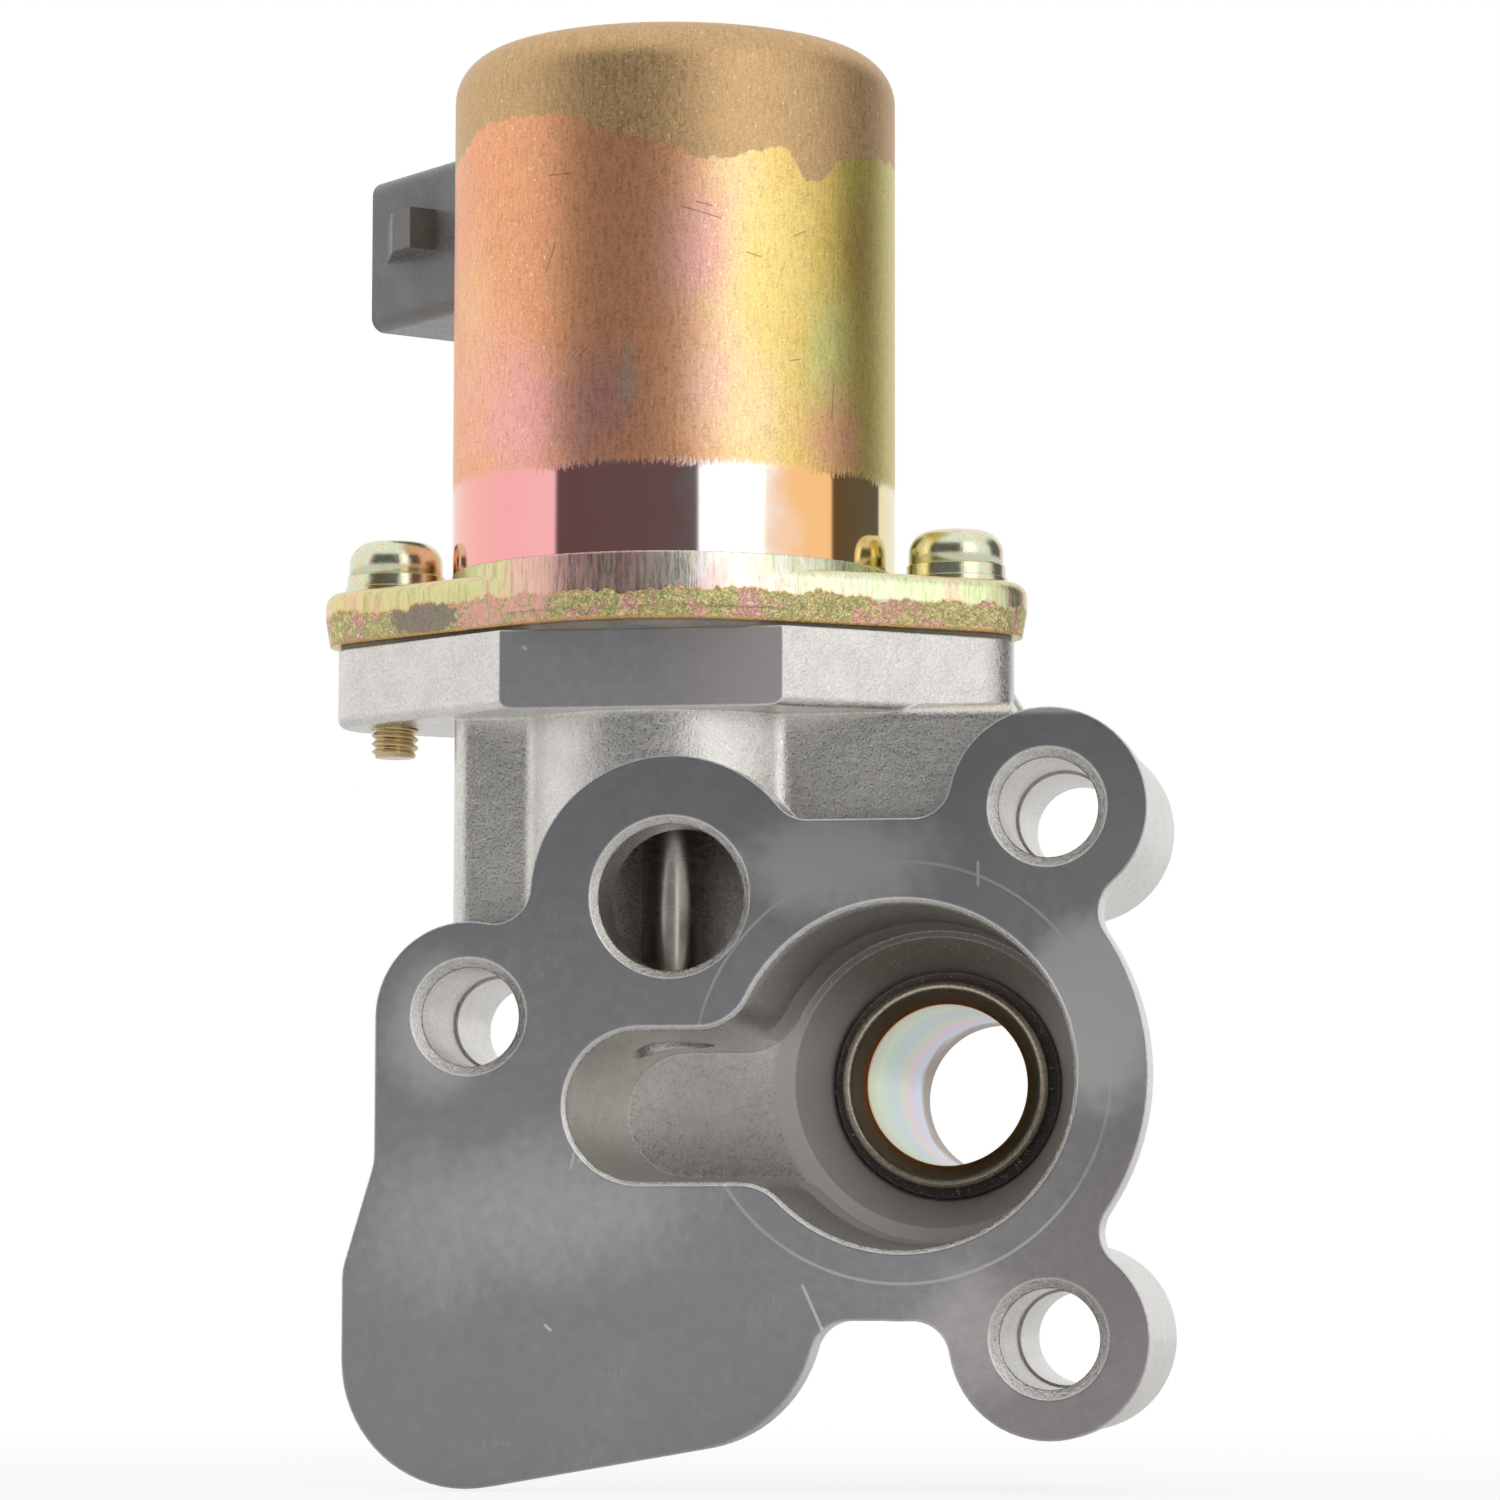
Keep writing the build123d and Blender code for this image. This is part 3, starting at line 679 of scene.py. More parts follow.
@dataclass(frozen=True)
class CanPlating(Finish):
    """Iridescent zinc plating on the drawn can: a brown top, a grained wall and a polished foot."""

    stain_colour: Colour = (0.64, 0.42, 0.21)
    film: Stops = (
        (0.0, (0.84, 0.50, 0.24)),
        (0.33, (0.90, 0.42, 0.22)),
        (0.50, (0.90, 0.43, 0.23)),
        (0.54, (0.92, 0.48, 0.27)),
        (0.57, (0.96, 0.68, 0.36)),
        (0.605, (0.93, 0.68, 0.25)),
        (0.64, (0.86, 0.62, 0.18)),
        (0.69, (0.66, 0.55, 0.14)),
        (0.78, (0.72, 0.62, 0.24)),
        (0.90, (0.86, 0.50, 0.34)),
        (1.0, (0.84, 0.50, 0.24)),
    )
    # The foot's colour by turn: the near-white stops at 0.555 and 0.585 are a painted reflection,
    # the others the plating's tint.
    foot_tint_and_reflection: Stops = (
        (0.0, (0.80, 0.72, 0.40)),
        (0.25, (0.96, 0.52, 0.36)),
        (0.40, (0.98, 0.42, 0.42)),
        (0.53, (0.97, 0.56, 0.54)),
        (0.555, (0.99, 0.93, 0.92)),
        (0.585, (0.99, 0.95, 0.92)),
        (0.605, (0.98, 0.66, 0.46)),
        (0.62, (0.98, 0.56, 0.24)),
        (0.66, (0.98, 0.55, 0.22)),
        (0.72, (0.86, 0.76, 0.44)),
        (1.0, (0.80, 0.72, 0.40)),
    )
    patches: tuple[tuple[float, float, float, float, float, Colour], ...] = (
        (0.372, 78.0, 0.045, 8.0, 0.8, (0.97, 0.50, 0.36)),
        (0.415, 75.0, 0.035, 6.0, 0.9, (0.98, 0.46, 0.42)),
        (0.352, 86.0, 0.030, 6.0, 0.6, (0.97, 0.58, 0.30)),
        (0.470, 75.5, 0.030, 5.5, 0.8, (0.66, 0.34, 0.32)),
        (0.497, 78.0, 0.006, 2.6, 0.5, (0.52, 0.50, 0.40)),
        (0.545, 88.5, 0.026, 6.0, 0.9, (0.98, 0.52, 0.44)),
        (0.553, 77.5, 0.020, 4.5, 0.8, (0.98, 0.60, 0.46)),
        (0.648, 80.0, 0.024, 7.0, 0.7, (0.68, 0.74, 0.28)),
        (0.600, 87.5, 0.026, 7.0, 0.7, (0.96, 0.74, 0.26)),
        (0.655, 73.5, 0.030, 4.5, 1.0, (0.88, 0.48, 0.26)),
        (0.585, 75.0, 0.020, 4.0, 0.7, (0.98, 0.72, 0.42)),
        (0.680, 90.0, 0.020, 4.0, 0.6, (0.60, 0.38, 0.12)),
    )
    scratches: Strokes = (
        (3.8, 92.0, 6.9, 91.1),
        (5.0, 92.4, 6.2, 92.1),
        (9.0, 88.4, 10.2, 88.1),
        (-7.5, 87.1, -6.7, 89.2),
        (-7.2, 95.1, -5.2, 95.1),
        (13.2, 90.1, 14.2, 90.6),
        (12.8, 79.7, 13.7, 79.9),
        (17.0, 75.3, 17.2, 78.2),
        (-4.4, 79.9, -3.8, 80.5),
    )
    foot_top: float = 71.0
    radius: float = 17.9
    painted_glint: Colour = (0.99, 0.92, 0.70)
    scratch: Colour = (0.30, 0.22, 0.14)
    stain_low: float = 92.0
    stain_high: float = 104.0
    streaks: Clouds = Clouds(1.0, 4.0, 0.7)
    speckle: Clouds = Clouds(4.5, 4.0, 0.75)
    clouding: Clouds = Clouds(0.22, 3.0, 0.55)
    painted_glint_clouds: Clouds = Clouds(1.0, 3.0, 0.85)
    frayed: Clouds = Clouds(1.0, 4.0, 0.65)
    scratch_width: float = 0.14
    foot_rough: float = 0.07
    bump_depth: float = 0.034
    stain_line: tuple[Pair, ...] = (
        (0.0, 0.45), (0.30, 0.52), (0.336, 0.60), (0.37, 0.69), (0.42, 0.70), (0.487, 0.53),
        (0.53, 0.41), (0.56, 0.33), (0.606, 0.44), (0.632, 0.24), (0.657, 0.40), (0.72, 0.52),
        (1.0, 0.45),
    )

    def build(self) -> Material:
        """Builds the can's material.

        Returns:
            The material.
        """
        g = SurfaceGraph("iridescent_plating_on_can")
        turn = g.bearing()
        streaks = g.noise(g.join(turn * 330.0, g.z * 0.55, 0.0), self.streaks)
        speckle = g.noise(g.place, self.speckle)
        clouds = g.noise(g.place, self.clouding)
        drift = (clouds - 0.5) * 0.05
        film = g.ramp(turn + drift, self.film)
        for place, level, half_turn, half_height, strength, tint in self.patches:
            patch = g.spot(turn, g.z, (place, level), (1.4 * half_turn, 1.4 * half_height), clouds)
            film = g.blend(patch * strength, film, tint)
        foot_tint_and_reflection = g.ramp(turn + drift, self.foot_tint_and_reflection)
        fringe = (streaks - 0.5) * 2.2
        foot = g.fall(g.z + fringe, self.foot_top - 0.5, self.foot_top + 0.5)
        stain = self.stain(g, turn)
        grain = streaks * 0.4 + speckle * 0.6
        shade = g.span(grain, 0.34, 0.58, 0.72, 1.12)
        wall = g.shaded(film, shade)
        top = g.shaded(self.stain_colour, shade)
        wall = g.blend(stain, wall, top)
        # Painted glints: bright yellow-white streaks on the can's wall.
        painted_glint = g.noise(g.join(turn * 420.0, g.z * 1.6, 0.0), self.painted_glint_clouds)
        painted_glint = g.span(painted_glint, 0.60, 0.68)
        wall = g.blend(painted_glint * 0.75, wall, self.painted_glint)
        around = (turn - 0.5) * (2 * math.pi * self.radius)
        for mark in self.scratches:
            line = g.stroke(around, g.z, mark, self.scratch_width)
            wall = g.blend(line * 0.7, wall, self.scratch)
        colour = g.blend(foot, wall, foot_tint_and_reflection)
        wall_rough = g.span(grain - painted_glint, 0.0, 0.6, 0.22, 0.38)
        wall_rough = g.between(stain, wall_rough, g.span(grain, 0.3, 0.7, 0.36, 0.5))
        rough = g.between(foot, wall_rough, self.foot_rough)
        height = g.between(foot, grain, clouds * 0.05)
        return g.finish(colour, rough, 1.0, g.bump(height, self.bump_depth))

    def stain(self, g: SurfaceGraph, turn: Term) -> Term:
        """Gives the browner top of the can above its ragged line.

        Args:
            g: The graph to write in.
            turn: The turn about the can's axis, from 0 to 1.

        Returns:
            1 above the line and 0 below it.
        """
        line = g.curve(turn, self.stain_line)
        ragged = g.noise(g.join(turn * 60.0, g.z * 0.4, 0.0), self.frayed)
        level = line * (self.stain_high - self.stain_low) + self.stain_low
        level = level + (ragged - 0.5) * 2.4
        return g.span(g.z - level, -0.12, 0.12)


@dataclass(frozen=True)
class FlangePlating(Finish):
    """Plating over a sheared steel edge: a burnished upper zone and a torn lower one."""

    # The burnished zone's colour by turn: the near-white stops at 0.55 and 0.61 are a painted
    # reflection, the others the plating's tint.
    burnish_tint_and_reflection: Stops = (
        (0.0, (0.80, 0.70, 0.42)),
        (0.30, (0.84, 0.70, 0.36)),
        (0.37, (0.74, 0.74, 0.36)),
        (0.40, (0.88, 0.66, 0.42)),
        (0.43, (0.95, 0.56, 0.50)),
        (0.46, (0.92, 0.58, 0.54)),
        (0.50, (0.98, 0.72, 0.67)),
        (0.55, (0.99, 0.90, 0.87)),
        (0.61, (0.97, 0.94, 0.76)),
        (0.68, (0.88, 0.96, 0.62)),
        (0.76, (0.76, 0.72, 0.40)),
        (1.0, (0.80, 0.70, 0.42)),
    )
    torn_gold: Colour = (0.88, 0.72, 0.34)
    torn_pink: Colour = (0.92, 0.50, 0.42)
    torn_dark: Colour = (0.26, 0.20, 0.11)
    torn_olive: Colour = (0.56, 0.56, 0.24)
    film_green: Colour = (0.66, 0.78, 0.32)
    film_pink: Colour = (0.95, 0.56, 0.46)
    torn_painted_glint: Colour = (0.99, 0.90, 0.58)
    stain: Colour = (0.30, 0.26, 0.22)
    rim: Colour = (0.74, 0.40, 0.14)
    face_colour: Colour = (0.80, 0.66, 0.38)
    bottom: float = 58.2
    tear_height: float = 2.3
    stain_place: Pair = (-19.4, 59.6)
    flake_place: Pair = (-11.4, 59.9)
    flake_reach: Pair = (6.5, 2.2)
    stain_reach: Pair = (4.2, 1.9)
    waves: Clouds = Clouds(0.36, 4.0, 0.62)
    streaks: Clouds = Clouds(1.0, 4.0, 0.75)
    mottle: Clouds = Clouds(0.34, 3.0, 0.6)
    crumbs: Clouds = Clouds(1.5, 3.0, 0.7)
    glitter: Clouds = Clouds(2.4, 3.0, 0.75)
    drifts: Clouds = Clouds(0.35, 3.0, 0.6)
    tints: Clouds = Clouds(0.55, 3.0, 0.6)
    flakes_per_mm: float = 0.45
    edge_radius: float = 0.3
    bump_depth: float = 0.13

    def build(self) -> Material:
        """Builds the flange's material.

        Returns:
            The material.
        """
        g = SurfaceGraph("plated_sheared_steel")
        turn = g.bearing()
        level = g.join(g.x, g.y, 0.0)
        wave = g.noise(level, self.waves)
        boundary = self.bottom + self.tear_height - 1.6 + wave * 3.2
        side = g.fall(g.sum(Calc.ABSOLUTE, g.facing[2]), 0.5, 0.8)
        torn = g.span(boundary - g.z, -0.05, 0.05) * side
        streak = g.noise(g.join(g.x * 3.0, g.y * 3.0, g.z * 0.3), self.streaks)
        mottle = g.noise(g.place, self.mottle)
        crumbs = g.noise(g.place, self.crumbs)
        glitter = g.noise(g.place, self.glitter)
        border = g.fall(g.cracks(g.place, self.flakes_per_mm) + crumbs * 0.12, 0.07, 0.12)
        drift = (g.noise(level, self.drifts) - 0.5) * 0.16
        film = g.ramp(turn + drift, self.burnish_tint_and_reflection)
        shade = g.span(streak, 0.25, 0.60, 0.62, 1.04)
        tint = g.noise(g.join(g.x, g.y, g.z * 0.6), self.tints)
        film = g.blend(g.span(tint, 0.52, 0.62, 0.0, 0.28), film, self.film_green)
        film = g.blend(g.span(tint, 0.38, 0.46, 0.45, 0.0), film, self.film_pink)
        film = g.shaded(film, shade)
        flaked = g.spot(g.x, g.z, self.flake_place, self.flake_reach, crumbs)
        stained = g.spot(g.x, g.z, self.stain_place, self.stain_reach, crumbs)
        rough_tone = self.torn_gold
        for mask, tone in (
            (g.span(crumbs, 0.46, 0.56), self.torn_olive),
            (g.span(mottle, 0.50, 0.56), self.torn_pink),
            (border * 0.7, self.torn_olive),
            (g.window(glitter, 0.46, 0.50, 0.04), self.torn_dark),
            # Painted glints on the torn zone.
            (g.span(glitter, 0.58, 0.64) * 0.7, self.torn_painted_glint),
            (g.span(flaked, 0.2, 0.4, 0.0, 0.9) * (1.0 - border), self.torn_pink),
            (g.span(stained, 0.2, 0.3, 0.0, 0.85), self.stain),
            (g.span(g.z, self.bottom + 0.12, self.bottom + 0.3, 0.8, 0.0), self.rim),
        ):
            rough_tone = g.blend(mask, rough_tone, tone)
        colour = g.blend(side, g.blend(g.span(mottle, 0.35, 0.7), self.face_colour, film), film)
        colour = g.blend(torn, colour, rough_tone)
        torn_rough = g.span(glitter, 0.3, 0.7, 0.2, 0.5)
        rough = g.between(torn, g.span(streak, 0.2, 0.8, 0.2, 0.36), torn_rough)
        crest = g.window(boundary - g.z, -0.18, 0.12, 0.1)
        colour = g.blend(crest * side * g.span(crumbs, 0.4, 0.6, 0.1, 0.6), colour, self.rim)
        torn_height = crumbs * 2.2 + glitter * 0.9
        height = g.between(torn, streak * 0.16, torn_height) + torn * -1.2
        normal = g.bump(height, self.bump_depth, g.rounded(self.edge_radius))
        return g.finish(colour, rough, 1.0, normal)


@dataclass(frozen=True)
class ScrewPlating(Finish):
    """Yellow-green iridescent plating on small turned steel."""

    stops: Stops = (
        (0.30, (0.72, 0.58, 0.30)),
        (0.42, (0.84, 0.80, 0.56)),
        (0.50, (0.74, 0.82, 0.62)),
        (0.58, (0.86, 0.82, 0.58)),
        (0.68, (0.86, 0.60, 0.50)),
        (0.78, (0.74, 0.60, 0.34)),
    )
    roughness: float = 0.16
    tip_top: float = 55.0
    tip_colour: Colour = (0.66, 0.50, 0.28)
    clouding: Clouds = Clouds(0.4, 2.0, 0.5)
    grain: Clouds = Clouds(6.0, 3.0, 0.7)
    edge_radius: float = 0.12
    bump_depth: float = 0.012

    def build(self) -> Material:
        """Builds the screws' material.

        Returns:
            The material.
        """
        g = SurfaceGraph("iridescent_plating_on_screws")
        clouds = g.noise(g.place, self.clouding)
        fine = g.noise(g.place, self.grain)
        film = g.ramp(clouds, self.stops)
        tip = g.span(g.z, self.tip_top - 1.0, self.tip_top, 0.9, 0.0)
        film = g.blend(tip, film, self.tip_colour)
        shade = g.span(fine, 0.3, 0.7, 0.88, 1.04)
        colour = g.shaded(film, shade)
        rough = g.span(fine, 0.3, 0.7, self.roughness, self.roughness + 0.06)
        normal = g.bump(fine, self.bump_depth, g.rounded(self.edge_radius))
        return g.finish(colour, rough, 1.0, normal)


@dataclass(frozen=True)
class TubePlating(Finish):
    """The hose tube: darker at its lip, with bands of colour along its bore."""

    centre: Pair = (21.48, 21.38)
    lip_rear: float = 28.4
    crest_radius: float = 8.1
    bore_radius: float = 7.1
    lip_colour: Colour = (0.44, 0.39, 0.31)
    lip_shine: Colour = (0.72, 0.65, 0.52)
    throat: Colour = (0.44, 0.385, 0.32)
    mouth: Colour = (0.70, 0.34, 0.12)
    outer_dark: Colour = (0.70, 0.66, 0.46)
    outer_light: Colour = (0.74, 0.72, 0.62)
    clouding: Clouds = Clouds(0.16, 2.0, 0.5)
    grain: Clouds = Clouds(3.5, 4.0, 0.7)
    band_drift: float = 9.0
    edge_radius: float = 0.15
    bump_depth: float = 0.02
    bands: Stops = (
        (0.0, (0.70, 0.78, 0.52)),
        (0.08, (0.76, 0.88, 0.62)),
        (0.26, (0.60, 0.78, 0.66)),
        (0.42, (0.58, 0.70, 0.76)),
        (0.56, (0.66, 0.72, 0.58)),
        (0.70, (0.82, 0.60, 0.66)),
        (0.84, (0.66, 0.62, 0.80)),
        (0.93, (0.62, 0.70, 0.80)),
        (0.972, (0.24, 0.14, 0.07)),
        (1.0, (0.18, 0.10, 0.05)),
    )
    front: float = 27.0
    rear: float = 67.0

    def build(self) -> Material:
        """Builds the tube's material.

        Returns:
            The material.
        """
        g = SurfaceGraph("pale_plating_on_tube")
        radius = g.ring(*self.centre)
        inside = g.fall(radius, self.bore_radius - 0.1, self.bore_radius + 0.1)
        clouds = g.noise(g.place, self.clouding)
        along = g.span(g.y + (clouds - 0.5) * self.band_drift, self.front, self.rear)
        film = g.ramp(along, self.bands)
        fine = g.noise(g.place, self.grain)
        shade = g.span(fine, 0.3, 0.7, 0.75, 1.05)
        outside = g.shaded(g.blend(clouds, self.outer_dark, self.outer_light), shade)
        lip = g.fall(g.y, self.lip_rear - 0.2, self.lip_rear + 0.2) * (1.0 - inside)
        colour = g.blend(inside, outside, film)
        lip_tone = g.blend(g.span(fine, 0.35, 0.65), self.lip_colour, self.lip_shine)
        colour = g.blend(lip, colour, lip_tone)
        throat = g.window(radius, self.bore_radius + 0.1, self.crest_radius, 0.3)
        colour = g.blend(throat * lip, colour, self.throat)
        mouth = g.window(radius, self.bore_radius - 0.25, self.bore_radius + 0.12, 0.1)
        mouth = mouth * g.fall(g.y, self.lip_rear + 0.3, self.lip_rear + 0.9)
        colour = g.blend(mouth, colour, self.mouth)
        rough = g.between(inside, g.between(lip, 0.3, 0.26), 0.28)
        normal = g.bump(fine, self.bump_depth, g.rounded(self.edge_radius))
        return g.finish(colour, rough, 1.0, normal)


@dataclass(frozen=True)
class TurnedMetal(Finish):
    """Bare turned or ground metal, with fine rings about the valve's axis."""

    name: str
    light: Colour
    dark: Colour
    roughness: float = 0.25
    rings: float = 2.2
    tool_marks: Clouds = Clouds(1.0, 5.0, 0.7)
    stains: Clouds = Clouds(0.5, 3.0, 0.6)
    edge_radius: float = 0.1
    bump_depth: float = 0.01

    def build(self) -> Material:
        """Builds the metal.

        Returns:
            The material.
        """
        g = SurfaceGraph(self.name)
        tool = g.noise(g.join(0.0, 0.0, g.z * self.rings), self.tool_marks)
        stain = g.noise(g.place, self.stains)
        colour = g.blend(g.span(tool * 0.5 + stain * 0.5, 0.35, 0.65), self.dark, self.light)
        rough = g.span(tool, 0.3, 0.7, self.roughness, self.roughness + 0.12)
        normal = g.bump(tool, self.bump_depth, g.rounded(self.edge_radius))
        return g.finish(colour, rough, 1.0, normal)


@dataclass(frozen=True)
class MouldedPlastic(Finish):
    """Moulded plastic with a fine leathery grain and a slight bloom."""

    name: str
    light: Colour
    dark: Colour
    roughness: float = 0.42
    grain_scale: float = 3.0
    blooms: Clouds = Clouds(0.3, 3.0, 0.6)
    edge_radius: float = 0.2
    bump_depth: float = 0.025

    def build(self) -> Material:
        """Builds the plastic.

        Returns:
            The material.
        """
        g = SurfaceGraph(self.name)
        grain = g.noise(g.place, Clouds(self.grain_scale, 4.0, 0.6))
        bloom = g.noise(g.place, self.blooms)
        colour = g.blend(g.span(bloom, 0.35, 0.7), self.dark, self.light)
        rough = g.span(grain, 0.3, 0.7, self.roughness, self.roughness + 0.12)
        normal = g.bump(grain, self.bump_depth, g.rounded(self.edge_radius))
        return g.finish(colour, rough, 0.0, normal)


@dataclass(frozen=True)
class WoundWire(Finish):
    """Enamelled wire laid in close turns."""

    pitch: float = 0.42
    light: Colour = (0.74, 0.30, 0.13)
    dark: Colour = (0.30, 0.10, 0.05)
    roughness: float = 0.3
    metal: float = 0.9
    bump_depth: float = 0.12

    def build(self) -> Material:
        """Builds the winding's material.

        Returns:
            The material.
        """
        g = SurfaceGraph("enamelled_copper")
        wave = g.sum(Calc.SINE, g.z * (2 * math.pi / self.pitch))
        # Painted shade: darker in the grooves between turns, lighter on each turn's crown.
        crown = g.span(wave, -1.0, 1.0)
        colour = g.blend(crown, self.dark, self.light)
        return g.finish(colour, self.roughness, self.metal, g.bump(crown, self.bump_depth))


def turned_grid(name: str, radius: np.ndarray, height: np.ndarray, centre: Pair) -> Piece:
    """Makes a closed body whose rings run from a top pole to a bottom pole.

    The point in row i and column j lies at the angle 2 pi j / n about the upright axis, at
    radius[i, j] from it and at height[i, j]. The first and last rows are the poles.

    Args:
        name: The new object's name.
        radius: Distances from the axis, in millimetres.
        height: Heights, in millimetres.
        centre: The axis's X and Y, in millimetres.

    Returns:
        The new object, with its place in its mesh.
    """
    rows, columns = radius.shape
    angle = np.linspace(0.0, 2 * math.pi, columns, endpoint=False)[None, :]
    x, y = centre[0] + radius * np.cos(angle), centre[1] + radius * np.sin(angle)
    points = np.stack([x, y, height], axis=-1)
    body = points[1:-1].reshape(-1, 3)
    vertices = np.concatenate([points[0, :1], body, points[-1, :1]]) * MM
    ring = np.arange(columns)
    after = (ring + 1) % columns
    row = 1 + np.arange(rows - 3)[:, None] * columns
    below = row + columns
    quads = np.stack([row + ring, below + ring, below + after, row + after], axis=-1)
    quads = quads.reshape(-1, 4)
    last = len(vertices) - 1
    low = 1 + (rows - 3) * columns
    top_fan = np.stack([np.zeros(columns, int), 1 + ring, 1 + after], axis=-1)
    low_fan = np.stack([np.full(columns, last), low + after, low + ring], axis=-1)
    mesh = bpy.data.meshes.new(name)
    faces = quads.tolist() + top_fan.tolist() + low_fan.tolist()
    mesh.from_pydata(vertices.tolist(), [], faces)
    mesh.polygons.foreach_set("use_smooth", np.ones(len(mesh.polygons), bool))
    mesh.update()
    made = bpy.data.objects.new(name, mesh)
    bpy.context.scene.collection.objects.link(made)
    return made


@dataclass
class FlangeScrews:
    """The two pan-head screws with their rolled threads, and the washers under them."""

    screw_x: float = 24.06
    head_low: float = 64.2
    head_high: float = 67.2
    head_radius: float = 3.97
    head_edge: float = 1.9
    major_radius: float = 2.0
    minor_radius: float = 1.66
    tip: float = 48.8
    pitch: float = 0.7
    recess_radius: float = 1.9
    recess_half_width: float = 0.5
    recess_depth: float = 1.7
    recess_flank: float = 0.12
    recess_end: float = 0.7
    columns: int = 72
    crown_rows: int = 24
    edge_rows: int = 10
    rows_per_turn: int = 10
    finish: ScrewPlating = ScrewPlating()

    def build(self, nodes: Nodes) -> None:
        """Builds both screws and dresses the washers.

        Args:
            nodes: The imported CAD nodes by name.
        """
        material = self.finish.build()
        for name, side in (("left", -1), ("right", 1)):
            screw = self.screw(f"threaded_screw_{name}", side)
            screw.data.materials.append(material)
            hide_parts(f"flange_screw_{name}")
            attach(screw, "root")
            for washer in ("spring_washer", "plain_washer"):
                dress(nodes[f"{washer}_{name}"], material)
            LOG.info("screw %s has %d faces", name, len(screw.data.polygons))

    def screw(self, name: str, side: int) -> Piece:
        """Builds one screw as a single turned grid.

        The outline runs from the crown over the rounded edge, down the head, in under it, down
        the shank and in at the tip. On the shank the radius rises and falls as a blunt saw with
        the height, one pitch for each turn. On the crown the height sinks inside a cross.

        Args:
            name: The object's name.
            side: -1 for the left screw and 1 for the right one.

        Returns:
            The screw.
        """
        arc = np.linspace(math.pi / 2, 0.0, self.edge_rows)[1:]
        crown_radius = np.linspace(0.0, self.head_radius - self.head_edge, self.crown_rows)
        shank = np.arange(self.head_low - 0.05, self.tip, -self.pitch / self.rows_per_turn)
        radius = np.concatenate([
            crown_radius,
            self.head_radius - self.head_edge + self.head_edge * np.cos(arc),
            [self.head_radius, self.head_radius - 0.1, self.major_radius + 0.05],
            np.full(len(shank), self.major_radius),
            [self.minor_radius - 0.15, 0.0],
        ])
        height = np.concatenate([
            np.full(len(crown_radius), self.head_high),
            self.head_high - self.head_edge + self.head_edge * np.sin(arc),
            [self.head_low + 0.1, self.head_low, self.head_low],
            shank,
            [self.tip, self.tip],
        ])
        turn = np.linspace(0.0, 1.0, self.columns, endpoint=False)[None, :]
        radius = np.repeat(radius[:, None], self.columns, axis=1)
        height = np.repeat(height[:, None], self.columns, axis=1)
        on_shank = (height < self.head_low - 0.01) & (height > self.tip + 0.001)
        phase = (height / self.pitch + turn) % 1.0
        saw = np.clip(2.6 * np.abs(phase - 0.5) - 0.15, 0.0, 1.0)
        entry = np.clip((height - self.tip) / (0.8 * self.pitch), 0.0, 1.0)
        thread = self.minor_radius + (self.major_radius - self.minor_radius) * saw * entry
        radius = np.where(on_shank, thread, radius)
        across = np.abs(radius * np.cos(2 * math.pi * turn + math.pi / 4))
        along = np.abs(radius * np.sin(2 * math.pi * turn + math.pi / 4))
        thin, far = np.minimum(across, along), np.maximum(across, along)
        inside = np.clip((self.recess_half_width - thin) / self.recess_flank, 0.0, 1.0)
        inside *= np.clip((self.recess_radius - far) / self.recess_end, 0.0, 1.0)
        crown = height > self.head_high - 0.02
        height = np.where(crown, height - self.recess_depth * inside, height)
        return turned_grid(name, radius, height, (side * self.screw_x, AXIS_DEPTH))


class Group:
    """A sub-assembly whose CAD nodes keep their shapes and get finishes."""

    wear: Outfit = ()

    def build(self, nodes: Nodes) -> None:
        """Builds each finish once and dresses its nodes.

        Args:
            nodes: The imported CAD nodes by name.
        """
        for finish, names in self.wear:
            material = finish.build()
            for name in names:
                dress(nodes[name], material)
                LOG.info("%s wears %s", name, material.name)


@dataclass
class HousingGroup(Group):
    """The die-cast housing, its hose tube and the gasket on top of it."""

    wear: Outfit = (
        (CastHousingFinish(), ("valve_housing",)),
        (TubePlating(), ("inlet_tube",)),
        (MouldedPlastic("dark_fibre_sheet", (0.36, 0.33, 0.29), (0.26, 0.23, 0.20), 0.7, 5.0),
         ("flange_gasket",)),
    )


@dataclass
class SolenoidGroup(Group):
    """The can, its flange and the coil inside."""

    wear: Outfit = (
        (CanPlating(), ("solenoid_can",)),
        (FlangePlating(), ("mounting_flange",)),
        (WoundWire(), ("coil_winding",)),
        (MouldedPlastic("natural_bobbin_plastic", (0.78, 0.74, 0.64), (0.66, 0.62, 0.53)),
         ("coil_bobbin",)),
        (TurnedMetal("turned_soft_iron", (0.56, 0.55, 0.54), (0.34, 0.33, 0.33)),
         ("fixed_core",)),
        (TurnedMetal("turned_brass", (0.86, 0.62, 0.28), (0.62, 0.42, 0.17)),
         ("guide_sleeve",)),
        (MouldedPlastic("black_rubber", (0.035, 0.034, 0.034), (0.02, 0.02, 0.02), 0.6),
         ("seal_ring", "socket_seal")),
    )


